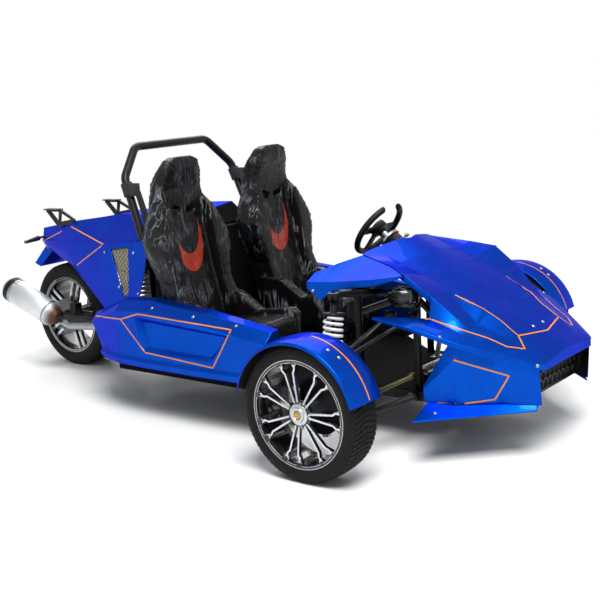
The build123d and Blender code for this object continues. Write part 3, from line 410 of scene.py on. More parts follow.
@dataclass(frozen=True)
class WrappedVinyl(Finish):
    """Black seat vinyl under a loose clear film: a dull grain below and a crumpled, glossy skin over it, with
    highlights painted along its folds.
    """

    crescent: str = "#8e2815"
    # Colour of the highlight painted along the film's folds.
    film_glint: str = "#c3ccd8"
    crease_mm: float = 34.0
    crease_depth_mm: float = 5.0
    fold_mm: float = 60.0
    line_share: float = 0.05
    loose_mm: float = 90.0
    loose_from: float = 0.46
    loose_to: float = 0.64
    # Facing range and shares of the painted highlight, which is strongest on faces turned sideways.
    turned_from: float = 0.3
    turned_to: float = 0.9
    least_glint: float = 0.10
    most_glint: float = 0.34
    moon_height: float = 0.850
    moon_radius: float = 0.170
    bite_height: float = 0.916
    bite_radius: float = 0.150
    moon_narrow: float = 1.8
    seat_y: float = 0.332
    front_facing: float = 0.02

    def tint(self, tree: NodeTree, place: NodeSocket) -> NodeSocket:
        """Black with the crescent inlay on the backrest and pale lines of painted highlight along the film's
        folds, more of them on faces turned sideways.

        Args:
            tree: the material's nodes.
            place: Object coordinates.

        Returns:
            Colour socket.
        """
        base = Finish.tint(self, tree, place)
        split = add_node(tree, "SeparateXYZ", links={"Vector": place})
        wide = add_node(tree, "Math", links={0: split["Y"]}, operation="ABSOLUTE")[0]
        centred = add_node(tree, "Math", {1: self.seat_y}, {0: wide}, operation="SUBTRACT")[0]
        local = add_node(tree, "Math", {1: self.moon_narrow}, {0: centred}, operation="MULTIPLY")[0]
        inside = []
        for height, radius in ((self.moon_height, self.moon_radius), (self.bite_height, self.bite_radius)):
            rise = add_node(tree, "Math", {1: height}, {0: split["Z"]}, operation="SUBTRACT")[0]
            flat = add_node(tree, "CombineXYZ", links={"X": local, "Y": rise})[0]
            far = add_node(tree, "VectorMath", links={0: flat}, operation="LENGTH")["Value"]
            inside.append(add_node(tree, "Math", {1: radius}, {0: far}, operation="LESS_THAN")[0])
        moon = add_node(tree, "Math", links=dict(enumerate(inside)), operation="SUBTRACT", use_clamp=True)[0]
        normal = add_node(tree, "SeparateXYZ", links={"Vector": add_node(tree, "TexCoord")["Normal"]})
        front = add_node(tree, "Math", {1: self.front_facing}, {0: normal["X"]}, operation="GREATER_THAN")[0]
        inlay = add_node(tree, "Math", links={0: moon, 1: front}, operation="MULTIPLY")[0]
        vinyl = add_node(tree, "Mix", {7: linear(self.crescent)}, {0: inlay, 6: base}, data_type="RGBA")[2]
        # Painted highlight: pale fold lines mixed into the colour, most on faces turned sideways.
        sideways = add_node(tree, "Math", links={0: normal["Y"]}, operation="ABSOLUTE")[0]
        most = add_node(tree, "MapRange", {
            "From Min": self.turned_from,
            "From Max": self.turned_to,
            "To Min": self.least_glint,
            "To Max": self.most_glint,
        }, {"Value": sideways})["Result"]
        lines = self.fold_lines(tree, place)
        painted_glint = add_node(tree, "Math", links={0: lines, 1: most}, operation="MULTIPLY")[0]
        return add_node(tree, "Mix", {7: linear(self.film_glint)}, {0: painted_glint, 6: vinyl}, data_type="RGBA")[2]

    def fold_lines(self, tree: NodeTree, place: NodeSocket) -> NodeSocket:
        """Thin lines of painted highlight along the film's folds, in patches where the film lies loose.

        Args:
            tree: the material's nodes.
            place: Object coordinates.

        Returns:
            Share of painted highlight.
        """
        slant = {"Rotation": (0.3, 0.3, 0.2), "Scale": (1.3, 1.6, 0.28)}
        drawn = add_node(tree, "Mapping", slant, {"Vector": place})[0]
        noise = {"Scale": per_metre(self.fold_mm), "Detail": 3.0, "Roughness": 0.55, "Distortion": 0.6}
        folds = add_node(tree, "TexNoise", noise, {"Vector": drawn})["Fac"]
        off = add_node(tree, "Math", {1: 0.5}, {0: folds}, operation="SUBTRACT")[0]
        near = add_node(tree, "Math", links={0: off}, operation="ABSOLUTE")[0]
        fade = {"From Max": self.line_share, "To Min": 1.0, "To Max": 0.0}
        line = add_node(tree, "MapRange", fade, {"Value": near})["Result"]
        patches = {"Scale": per_metre(self.loose_mm), "Detail": 1.0}
        film = add_node(tree, "TexNoise", patches, {"Vector": place})["Fac"]
        span = {"From Min": self.loose_from, "From Max": self.loose_to}
        loose = add_node(tree, "MapRange", span, {"Value": film})["Result"]
        return add_node(tree, "Math", links={0: line, 1: loose}, operation="MULTIPLY")[0]

    def finish_shader(self, tree: NodeTree, place: NodeSocket, shader: Node) -> None:
        """Crumple the clear film over the vinyl, with folds drawn out along the seat back.

        Args:
            tree: the material's nodes.
            place: Object coordinates.
            shader: the Principled shader.
        """
        slant = {"Rotation": (0.5, 0.2, 0.4), "Scale": (1.0, 1.3, 0.55)}
        drawn = add_node(tree, "Mapping", slant, {"Vector": place})[0]
        noise = {"Scale": per_metre(self.crease_mm), "Detail": 6.0, "Roughness": 0.62, "Distortion": 1.4}
        creases = add_node(tree, "TexNoise", noise, {"Vector": drawn},
                           noise_type="RIDGED_MULTIFRACTAL")["Fac"]
        depth = {"Strength": 1.0, "Distance": self.crease_depth_mm * MM}
        bump = add_node(tree, "Bump", depth, {"Height": creases})["Normal"]
        tree.links.new(bump, shader.inputs["Coat Normal"])


@dataclass(frozen=True)
class ExpandedMesh(Finish):
    """Expanded aluminium mesh: pale strands, with shade painted into the pockets between them."""

    # Colour of the painted shade in the pockets, and the reach and levels of the occlusion that lays it on.
    pocket: str = "#060607"
    pocket_mm: float = 9.0
    shut_in: float = 0.92
    open_air: float = 0.995

    def tint(self, tree: NodeTree, place: NodeSocket) -> NodeSocket:
        """Strand colour with painted shade: it goes black where neighbouring walls shut the surface in.

        Args:
            tree: the material's nodes.
            place: Object coordinates.

        Returns:
            Colour socket.
        """
        strand = Finish.tint(self, tree, place)
        # Painted shade: ambient occlusion turns the strands black where they are shut in.
        shut = add_node(tree, "AmbientOcclusion", {"Distance": self.pocket_mm * MM}, samples=6)["AO"]
        span = {"From Min": self.shut_in, "From Max": self.open_air}
        bare = add_node(tree, "MapRange", span, {"Value": shut})["Result"]
        return add_node(tree, "Mix", {6: linear(self.pocket)}, {0: bare, 7: strand}, data_type="RGBA")[2]


# Sprayed candy lacquer over aluminium flake on glass fibre: deep, wet and sparkling.
LACQUER = CandyLacquer("candy_lacquer", "#004ebe", "#003aa2", 0.92, 0.38, 0.05, 5.0, 0.03, 160.0, 0.14, 0.02,
                       5.0, coat_ior=1.33, specular=0.2, edge_tint="#0068ff")
# Vinyl pinstripe film: an even satin orange.
STRIPE = Finish("stripe_film", "#e28c12", "#d67e0c", 0.0, 0.40, 0.05, 2.0, 0.02, 40.0, specular=0.3)
# Powder coat on steel tube: satin black with a fine pebble.
POWDER = Finish("powder_coat", "#07080a", "#030304", 0.0, 0.40, 0.10, 1.6, 0.10, 70.0, specular=0.3)
# Moulded ABS: dark grey-black with a spark-eroded texture.
MOULDED = Finish("moulded_abs", "#0a0b0c", "#050506", 0.0, 0.52, 0.10, 1.2, 0.14, 60.0, specular=0.25)
# Rubber floor mat: dead black and matt.
FLOOR_MAT = Finish("rubber_mat", "#050506", "#080809", 0.0, 0.90, 0.05, 2.0, 0.30, 60.0, specular=0.08)
# Black vinyl upholstery under clear wrapping film, with highlights painted along the film's folds.
VINYL = WrappedVinyl("wrapped_vinyl", "#040405", "#08080a", 0.0, 0.60, 0.10, 2.2, 0.25, 40.0, 0.5, 0.05, 0.5,
                     coat_ior=1.33, specular=0.12)
# Polyester webbing: matt black with woven ribs.
WEBBING = WovenWebbing("polyester_webbing", "#1d1e20", "#161719", 0.0, 0.85, 0.05, 1.0, 0.2, 30.0)
# Bright zinc-plated steel: even silver with cloudy patches.
STEEL = Finish("zinc_plated_steel", "#a9adb2", "#8d9197", 1.0, 0.32, 0.10, 1.5, 0.05, 35.0)
# Oiled brake steel: dark grey with a dull turned face.
BRAKE_STEEL = Finish("brake_steel", "#3a3b3d", "#2c2d2f", 0.9, 0.45, 0.10, 1.5, 0.05, 30.0)
# Drawn aluminium tube: pale and softly brushed.
ALUMINIUM = Finish("drawn_aluminium", "#c9ccd0", "#b4b8bd", 1.0, 0.30, 0.08, 1.2, 0.04, 50.0)
# Cast wheel under gloss black paint, with the outer faces turned bright.
FRONT_ALLOY = TurnedWheel("turned_alloy_front", "#0b0c0e", "#121316", 0.0, 0.22, 0.06, 2.0, 0.04, 40.0, 0.6,
                          face_from=0.9195, axle=(0.980, 0.0, 0.282))
REAR_ALLOY = TurnedWheel("turned_alloy_rear", "#0b0c0e", "#121316", 0.0, 0.22, 0.06, 2.0, 0.04, 40.0, 0.6,
                         face_from=0.0845, axle=(-1.390, 0.0, 0.302), spokes=(0.103, 0.2095),
                         region=Region.RIGHT_SIDE)
# Tyre rubber: dusty black with a fine moulded grain.
RUBBER = Finish("tyre_rubber", "#08080a", "#0f1012", 0.0, 0.70, 0.10, 1.4, 0.15, 45.0, specular=0.2)
# Yellow-passivated zinc: olive gold that drifts in tone.
GOLD_ZINC = Finish("passivated_zinc", "#6f6a48", "#57543c", 1.0, 0.42, 0.10, 1.5, 0.05, 25.0)
# Baked enamel on spring wire: clean white.
SPRING = Finish("spring_enamel", "#e4e5e6", "#d2d4d6", 0.0, 0.28, 0.06, 1.5, 0.03, 30.0, 0.5)
# Polypropylene cup: milky white.
WHITE_PLASTIC = Finish("polypropylene", "#e8e6df", "#dcd9cf", 0.0, 0.42, 0.08, 2.0, 0.05, 40.0)
# Blow-moulded bottle: teal and waxy.
TEAL_PLASTIC = Finish("blown_polyethylene", "#168a86", "#0f7471", 0.0, 0.40, 0.08, 2.0, 0.08, 40.0)
# Moulded red lens: glossy and deep.
RED_LENS = Finish("red_lens", "#8e0d12", "#6c080c", 0.0, 0.12, 0.04, 2.0, 0.03, 20.0, 1.0)
# Smoked amber lens: dark and glossy.
AMBER_LENS = Finish("smoked_amber_lens", "#160c06", "#0e0804", 0.0, 0.14, 0.04, 2.0, 0.03, 20.0, 1.0)
# Black lamp body: gloss moulding.
LAMP_BLACK = Finish("lamp_moulding", "#0c0d0f", "#131417", 0.0, 0.20, 0.05, 2.0, 0.04, 40.0, 0.4)
# Sand-cast aluminium: grey, pitted and dull.
CASTING = Finish("sand_casting", "#6c6e70", "#585a5c", 0.75, 0.58, 0.10, 1.8, 0.35, 40.0)
# Brushed stainless silencer with a heat-browned inlet.
SILENCER = HeatTintedSteel("brushed_stainless", "#e4e6e8", "#d2d5d8", 0.9, 0.50, 0.07, 1.2, 0.05, 50.0)
# Smoked polycarbonate headlamp front: dark and very smooth.
CLEAR_LENS = Finish("smoked_lens", "#1c2024", "#101316", 0.3, 0.08, 0.03, 3.0, 0.05, 15.0, 1.0)
# Lacquered brass cap: warm and plain.
BRASS = Finish("lacquered_brass", "#b79a58", "#9c8146", 1.0, 0.25, 0.06, 1.5, 0.03, 20.0)
# Expanded aluminium with shade painted into its hollows: tan-silver strands.
VENT_MESH = ExpandedMesh("expanded_aluminium", "#a89f8c", "#8f8878", 0.6, 0.42, 0.08, 1.5, 0.05, 30.0)
# Moulded orange ABS: an even satin switch cap.
ORANGE_PLASTIC = Finish("orange_abs", "#e2591c", "#c94c15", 0.0, 0.35, 0.08, 1.5, 0.05, 20.0)

SLOT_FINISH: dict[str, Finish] = {
    "body_blue": LACQUER,
    "frame_black": POWDER,
    "black_plastic": MOULDED,
    "seat_black": VINYL,
    "webbing": WEBBING,
    "steel": STEEL,
    "aluminium": ALUMINIUM,
    "rim_black": FRONT_ALLOY,
    "tyre": RUBBER,
    "gold_zinc": GOLD_ZINC,
    "spring_white": SPRING,
    "white_plastic": WHITE_PLASTIC,
    "teal_plastic": TEAL_PLASTIC,
    "lamp_red": RED_LENS,
    "lamp_amber": AMBER_LENS,
    "lamp_black": LAMP_BLACK,
    "engine_grey": CASTING,
}
NODE_FINISH: dict[str, Finish] = {
    "rear_rim": REAR_ALLOY, "muffler": SILENCER, "vent_meshes": VENT_MESH, "floor_pan": FLOOR_MAT,
    "front_hub_left": BRAKE_STEEL, "front_hub_right": BRAKE_STEEL,
}


def place_piece(name: str, shape: BMesh, finish: Finish, body: str) -> Object:
    """Turn a bmesh into a piece that rides on a body.

    Args:
        name: the piece's name.
        shape: its bmesh in place, which is freed.
        finish: the finish that covers it.
        body: CAD body that it rides on.

    Returns:
        The new object.
    """
    mesh = bpy.data.meshes.new(name)
    shape.to_mesh(mesh)
    shape.free()
    mesh.shade_smooth()
    mesh.set_sharp_from_angle(angle=SHARP_ANGLE)
    mesh.materials.append(finish.material())
    piece = bpy.data.objects.new(name, mesh)
    bpy.context.scene.collection.objects.link(piece)
    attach(piece, body)
    LOG.info("%s: %d faces on %s", name, len(mesh.polygons), body)
    return piece


def node_shape(*names: str) -> BMesh:
    """A merged copy of CAD nodes, with their loose triangles welded.

    Args:
        names: nodes to copy.

    Returns:
        The welded bmesh.
    """
    shape = bmesh.new()
    for name in names:
        shape.from_mesh(NODES[name].data)
    bmesh.ops.remove_doubles(shape, verts=shape.verts, dist=MERGE_GAP)
    return shape


def pointing(axis: Vector) -> Matrix:
    """Matrix that turns local Z to an axis."""
    return axis.to_track_quat("Z", "Y").to_matrix().to_4x4()


def lathe(profile: Sequence[Pair], steps: int, closed: bool = False) -> BMesh:
    """Spin a profile once round local Z.

    Args:
        profile: radius and height of each corner.
        steps: segments round the axis.
        closed: whether the last corner joins the first by an edge.

    Returns:
        The spun bmesh, with normals outward where the profile is closed or ends on the axis.
    """
    shape = bmesh.new()
    corners = [shape.verts.new((radius, 0.0, height)) for radius, height in profile]
    edges = [shape.edges.new((corners[i - 1], corners[i])) for i in range(0 if closed else 1, len(corners))]
    bmesh.ops.spin(shape, geom=corners + edges, cent=(0, 0, 0), axis=UP, angle=math.tau, steps=steps,
                   use_merge=True)
    bmesh.ops.remove_doubles(shape, verts=shape.verts, dist=MERGE_GAP)
    bmesh.ops.recalc_face_normals(shape, faces=shape.faces)
    return shape


def spun(profile: Sequence[Pair], steps: int, centre: Vector, axis: Vector) -> BMesh:
    """Spin a profile round an axis of the vehicle.

    Args:
        profile: radius and place along the axis of each corner.
        steps: segments round the axis.
        centre: point that the axis passes through, at place zero.
        axis: direction of the axis.

    Returns:
        The spun bmesh in its place.
    """
    shape = lathe(profile, steps)
    bmesh.ops.transform(shape, matrix=Matrix.Translation(centre) @ pointing(axis), verts=shape.verts)
    return shape


def bolt_ring(centre: Vector, axis: Vector, circle: float, count: int, head: Point) -> BMesh:
    """Six-sided heads on a circle round an axis that lies across the vehicle.

    Args:
        centre: middle of the circle, halfway up the heads.
        axis: where the heads point.
        circle: radius of the circle.
        count: number of heads.
        head: radius at the foot, radius at the top and height of each head.

    Returns:
        The joined heads.
    """
    shape = bmesh.new()
    foot, top, height = head
    for i in range(count):
        angle = math.tau * i / count
        spot = centre + Vector((math.cos(angle), 0, math.sin(angle))) * circle
        bmesh.ops.create_cone(shape, cap_ends=True, segments=6, radius1=foot, radius2=top, depth=height,
                              matrix=Matrix.Translation(spot) @ pointing(axis))
    return shape


def add_block(shape: BMesh, place: Matrix, size: Vector, rounding: float, steps: int) -> None:
    """Add a block with rounded edges.

    Args:
        shape: bmesh that gets the block.
        place: matrix of its middle and its directions.
        size: its three sides.
        rounding: width that the rounding takes of each face.
        steps: segments of the rounding.
    """
    made = bmesh.ops.create_cube(shape, size=1.0, matrix=place @ Matrix.Diagonal(size.to_4d()))
    edges = list(dict.fromkeys(edge for vertex in made["verts"] for edge in vertex.link_edges))
    bmesh.ops.bevel(shape, geom=edges, offset=rounding, offset_type="OFFSET", affect="EDGES", segments=steps,
                    profile=0.5, material=-1)


def cell_panel(node: str, sign: int, cells: tuple[int, int], margin: float, wall: float, depth: float,
               lift: float) -> BMesh:
    """Panel of cells over the front or the rear face of a node's box.

    Args:
        node: the node.
        sign: one for the front face and minus one for the rear face.
        cells: cells across and up.
        margin: strip of the face that stays free all round.
        wall: flat strip left round each cell.
        depth: how far each cell rises, or sinks where negative.
        lift: how far the panel stands off the face.

    Returns:
        The panel in its place.
    """
    low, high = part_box(node)
    middle, size = (low + high) / 2, high - low
    shape = bmesh.new()
    bmesh.ops.create_grid(shape, x_segments=cells[0], y_segments=cells[1], size=0.5)
    bmesh.ops.scale(shape, vec=(size.y - 2 * margin, size.z - 2 * margin, 1.0), verts=shape.verts)
    bmesh.ops.inset_individual(shape, faces=list(shape.faces), thickness=wall, depth=depth,
                               use_even_offset=True)
    place = Vector(((high if sign > 0 else low).x + sign * lift, middle.y, middle.z))
    bmesh.ops.transform(shape, matrix=facing(place, Vector((sign, 0, 0)), UP), verts=shape.verts)
    return shape


def facing(place: Vector, outward: Vector, upward: Vector) -> Matrix:
    """Matrix that sets a local panel at a place.

    Args:
        place: where the local origin goes.
        outward: where local Z points.
        upward: where local Y points.

    Returns:
        The placing matrix.
    """
    side = upward.cross(outward).normalized()
    turn = Matrix((side, outward.cross(side), outward)).transposed().to_4x4()
    return Matrix.Translation(place) @ turn


def mirrored(shape: BMesh) -> BMesh:
    """Copy of a bmesh on the other side of the vehicle.

    Args:
        shape: bmesh of one side, kept as it is.

    Returns:
        Its mirror image, with the faces turned outward again.
    """
    other = shape.copy()
    bmesh.ops.scale(other, vec=(1, -1, 1), verts=other.verts)
    bmesh.ops.reverse_faces(other, faces=other.faces)
    return other


def place_both(name: str, right: BMesh, finish: Finish, node: str) -> None:
    """Put a right-hand shape and its mirror image on the two sides.

    Args:
        name: what the names of both pieces start with.
        right: the right-hand shape, which is freed.
        finish: the finish that covers both.
        node: right-hand node that carries the shape.
    """
    for side, shape in ((Side.RIGHT, right), (Side.LEFT, mirrored(right))):
        place_piece(f"{name}_{side.tag}", shape, finish, BODY_OF_NODE[node.replace("right", side.tag)])


@dataclass
class PhotoCamera:
    """The camera that took the picture, as fitted to the object's own points."""

    place: Point = (3.5135, -3.9725, 1.5401)
    yaw: float = 0.6849
    pitch: float = 0.2002
    roll: float = -0.0635
    focal_px: float = 1064.18
    frame_px: float = 600.0
    sensor_mm: float = 36.0

    def axes(self) -> tuple[Vector, Vector, Vector]:
        """Right, up and forward directions of the picture.

        Returns:
            The three unit vectors.
        """
        level = math.cos(self.pitch)
        forward = Vector((-math.sin(self.yaw) * level, math.cos(self.yaw) * level, -math.sin(self.pitch)))
        right = forward.cross(UP).normalized()
        up = right.cross(forward)
        cosine, sine = math.cos(self.roll), math.sin(self.roll)
        return right * cosine + up * sine, up * cosine - right * sine, forward

    def ray(self, pixel: Pair) -> Vector:
        """Direction from the camera through a pixel of the 600-pixel frame.

        Args:
            pixel: column and row.

        Returns:
            Unit direction.
        """
        right, up, forward = self.axes()
        half = self.frame_px / 2
        return (forward * self.focal_px + right * (pixel[0] - half) + up * (half - pixel[1])).normalized()

    def build(self) -> None:
        """Make the scene's camera."""
        right, up, forward = self.axes()
        data = bpy.data.cameras.new("photo_camera")
        data.sensor_width = self.sensor_mm
        data.lens = self.sensor_mm * self.focal_px / self.frame_px
        camera = bpy.data.objects.new("photo_camera", data)
        camera.matrix_world = Matrix((right, up, -forward)).transposed().to_4x4()
        camera.location = self.place
        bpy.context.scene.collection.objects.link(camera)
        bpy.context.scene.camera = camera


@dataclass
class Skin:
    """The surface of some CAD nodes, which pieces are laid on."""

    nodes: tuple[str, ...]
    camera: PhotoCamera = field(default_factory=PhotoCamera)
    # Steps along a ray at which the surface may lie.
    search_step: float = 0.02
    search_steps: range = range(120, 420)

    def __post_init__(self) -> None:
        """Build the search tree over the nodes' faces."""
        shape = node_shape(*self.nodes)
        self.tree = BVHTree.FromBMesh(shape)
        shape.free()

    def under_pixel(self, pixel: Pair) -> tuple[Vector, Vector]:
        """Point of the surface that a pixel of the photograph shows.

        Args:
            pixel: column and row.

        Returns:
            The point and the outward normal there.
        """
        place, normal, _, _ = self.tree.ray_cast(Vector(self.camera.place), self.camera.ray(pixel))
        if place is None:
            LOG.warning("pixel %s misses %s", pixel, self.nodes)
            return self.nearest_to_ray(pixel)
        return place, normal

    def nearest_to_ray(self, pixel: Pair) -> tuple[Vector, Vector]:
        """Point of the surface nearest to a ray that misses it.

        Args:
            pixel: column and row.

        Returns:
            The point and the outward normal there.
        """
        start, along = Vector(self.camera.place), self.camera.ray(pixel)
        hits = (self.tree.find_nearest(start + along * self.search_step * i) for i in self.search_steps)
        place, normal, _, _ = min(hits, key=lambda hit: hit[3])
        return place, normal


@dataclass(frozen=True)
class StripeRun:
    """One run of pinstripe: the right-hand nodes that it lies on and the pixels that it passes."""

    name: str
    nodes: tuple[str, ...]
    pixels: Pairs


@dataclass
class Pinstripes:
    """Orange film stripes along the creases of the body."""

    width: float = 0.0068
    lift: float = 0.0010
    thickness: float = 0.0006
    step_px: float = 2.0
    runs: tuple[StripeRun, ...] = (
        StripeRun("hood_ridge", ("hood",), (
            (548.3, 330.0), (518.3, 335.8), (500.0, 320.0), (482.0, 308.0), (455.0, 295.0))),
        StripeRun("hood_lower", ("hood", "hood_wing_right"), (
            (518.3, 335.8), (525.0, 349.0), (506.7, 346.7), (488.3, 338.3), (456.7, 328.3), (425.0, 317.5))),
        StripeRun("nose", ("nose_panel_right",), (
            (453.3, 360.0), (509.0, 376.0), (495.0, 399.5), (437.0, 407.5))),
        StripeRun("pod_ledge", ("side_pod_right",), (
            (96.0, 316.0), (120.5, 319.2), (137.8, 314.0), (231.0, 330.0), (213.0, 368.0), (145.2, 352.5),
            (120.5, 319.2))),
        StripeRun("tail_fan", ("tail_cowl", "quarter_panel_right"), (
            (71.2, 226.7), (103.3, 244.5), (76.9, 265.2))),
        StripeRun("tail_edge", ("tail_cowl", "quarter_panel_right"), (
            (62.0, 231.3), (44.5, 240.5), (50.0, 252.6))),
    )
    fender_y: float = -0.856
    fender_arc: Pair = (15.5, 84.0)
    fender_steps: int = 40

    def fender_path(self) -> list[tuple[Vector, Vector]]:
        """Points along the crown of the right-hand fender.

        Returns:
            Place and normal of each point.
        """
        low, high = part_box("front_tyre_right")
        axle = Vector(((low.x + high.x) / 2, self.fender_y, (low.z + high.z) / 2))
        skin = Skin(("fender_right",))
        first, last = self.fender_arc
        points = []
        for i in range(self.fender_steps + 1):
            angle = math.radians(first + (last - first) * i / self.fender_steps)
            outward = Vector((math.cos(angle), 0, math.sin(angle)))
            points.append(skin.tree.ray_cast(axle + outward, -outward)[:2])
        return points

    def path(self, run: StripeRun) -> list[tuple[Vector, Vector]]:
        """Points along a run, each on the surface that its pixel shows.

        Args:
            run: the run.

        Returns:
            Place and normal of each point.
        """
        skin = Skin(run.nodes)
        points = []
        for start, end in zip(run.pixels, run.pixels[1:]):
            count = max(2, round(math.dist(start, end) / self.step_px))
            for i in range(count):
                share = i / count
                points.append(skin.under_pixel(tuple(a + (b - a) * share for a, b in zip(start, end))))
        points.append(skin.under_pixel(run.pixels[-1]))
        return points

    def ribbon(self, points: list[tuple[Vector, Vector]]) -> BMesh:
        """Thin strip between two rails that follow the points.

        Args:
            points: place and normal of each point.

        Returns:
            The strip.
        """
        shape = bmesh.new()
        rails: tuple[list, list] = ([], [])
        for i, (place, normal) in enumerate(points):
            along = points[min(i + 1, len(points) - 1)][0] - points[max(i - 1, 0)][0]
            across = normal.cross(along).normalized() * self.width / 2
            for rail, offset in zip(rails, (across, -across)):
                rail.append(shape.verts.new(place + normal * self.lift + offset))
        edges = [shape.edges.new(pair) for rail in rails for pair in zip(rail, rail[1:])]
        bmesh.ops.bridge_loops(shape, edges=edges)
        bmesh.ops.recalc_face_normals(shape, faces=shape.faces)
        bmesh.ops.solidify(shape, geom=list(shape.faces), thickness=self.thickness)
        return shape

    def build(self) -> None:
        """Lay each run on both sides."""
        paths = [(run.name, run.nodes[0], self.path(run)) for run in self.runs]
        paths.append(("fender", "fender_right", self.fender_path()))
        for name, node, points in paths:
            place_both(f"stripe_{name}", self.ribbon(points), STRIPE, node)


@dataclass
class PanelBolts:
    """Dome-head bolts that hold the body panels."""

    radius: float = 0.0085
    height: float = 0.0045
    top_share: float = 0.55
    seat_share: float = 0.45
    easing_share: float = 0.3
    sides: int = 10
    spots: tuple[tuple[str, Pairs], ...] = (
        ("side_pod_right", ((152, 308), (193, 317), (236, 326))),
        ("hood_wing_right", ((312.7, 291),)),
        ("hood", ((439.7, 336.7), (537.5, 366), (543, 321.7))),
        ("splitters", ((435, 413),)),
        ("fender_right", ((328, 350), (339, 357.7))),
        ("quarter_panel_right", ((104.5, 252), (119, 287), (133, 253), (138, 294), (142, 233))),
    )

    def heads(self, node: str, pixels: Iterable[Pair]) -> BMesh:
        """Bolt heads on one node, each square to the surface.

        Args:
            node: right-hand node that carries them.
            pixels: where the photograph shows them.

        Returns:
            The joined heads.
        """
        skin = Skin((node,))
        shape = bmesh.new()
        for pixel in pixels:
            place, normal = skin.under_pixel(pixel)
            seat = Matrix.Translation(place + normal * self.height * self.seat_share)
            made = bmesh.ops.create_cone(
                shape, cap_ends=True, segments=self.sides, radius1=self.radius,
                radius2=self.radius * self.top_share, depth=self.height, matrix=seat @ pointing(normal))
            top = [edge for edge in shape.edges if all(v in made["verts"] for v in edge.verts) and all(
                (v.co - place).dot(normal) > self.height / 2 for v in edge.verts)]
            bmesh.ops.bevel(shape, geom=top, offset=self.height * self.easing_share, offset_type="OFFSET",
                            affect="EDGES", segments=2, profile=0.5, material=-1)
        return shape

    def build(self) -> None:
        """Set the bolts on both sides."""
        for node, pixels in self.spots:
            name = "bolts_" + node.replace("_right", "")
            place_both(name, self.heads(node, pixels), STEEL, node)


@dataclass
class BodyPanels:
    """Lacquered panels with rounded edges and bare insides."""

    edge: float = 0.0018
    crease_angle: float = math.radians(24)
    flat_angle: float = math.radians(0.4)
    turned_in: float = 0.30
    hood_middle: Point = (1.05, 0.0, 0.10)
    nose_middle: Point = (1.20, 0.0, 0.32)
    tail_middle: Point = (-0.95, 0.0, 0.45)
    below: float = 0.6

    def inner_point(self, node: str) -> Vector | None:
        """Where the bare inside of a panel looks to.

        Args:
            node: the panel's node.

        Returns:
            A point behind the panel, or nothing for a panel that is painted all round.
        """
        low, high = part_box(node)
        kind = node.removesuffix("_left").removesuffix("_right")
        if kind == "fender":
            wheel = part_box(node.replace("fender", "front_tyre"))
            return (wheel[0] + wheel[1]) / 2
        if kind == "hood_wing":
            return (low + high) / 2 - Vector((0, 0, self.below))
        return {"hood": Vector(self.hood_middle), "nose_panel": Vector(self.nose_middle),
                "quarter_panel": Vector(self.tail_middle), "tail_cowl": Vector(self.tail_middle)}.get(kind)

    def bare_inside(self, piece: Object, node: str) -> None:
        """Leave the inside of a panel in bare black moulding.

        Args:
            piece: the panel.
            node: its node.
        """
        inner = self.inner_point(node)
        if inner is None:
            return
        piece.data.materials.append(MOULDED.material())
        for face in piece.data.polygons:
            if face.normal.dot((inner - face.center).normalized()) > self.turned_in:
                face.material_index = 1

    def build(self) -> None:
        """Replace each lacquered node by a welded copy with rounded edges and a bare inside."""
        for node in sorted(NODES):
            if SLOT_OF_NODE[node] != "body_blue":
                continue
            shape = node_shape(node)
            bmesh.ops.dissolve_limit(shape, angle_limit=self.flat_angle, verts=shape.verts, edges=shape.edges)
            piece = place_piece(node + "_panel", shape, LACQUER, BODY_OF_NODE[node])
            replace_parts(piece, node)
            self.bare_inside(piece, node)
            rounding = piece.modifiers.new("edges", "BEVEL")
            rounding.width = self.edge
            rounding.segments = 2
            rounding.limit_method = "ANGLE"
            rounding.angle_limit = self.crease_angle


@dataclass
class DressedNodes:
    """CAD nodes shown as they are, welded so that round faces shade smoothly."""

    built_elsewhere: tuple[str, ...] = (
        "seat_left", "seat_right", "front_tyre_left", "front_tyre_right", "rear_tyre",
    )

    def build(self) -> None:
        """Replace each remaining node by its welded copy in the finish of its slot."""
        for node in sorted(NODES):
            slot = SLOT_OF_NODE[node]
            if slot == "body_blue" or node in self.built_elsewhere:
                continue
            finish = NODE_FINISH.get(node, SLOT_FINISH[slot])
            piece = place_piece(node + "_skin", node_shape(node), finish, BODY_OF_NODE[node])
            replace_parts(piece, node)


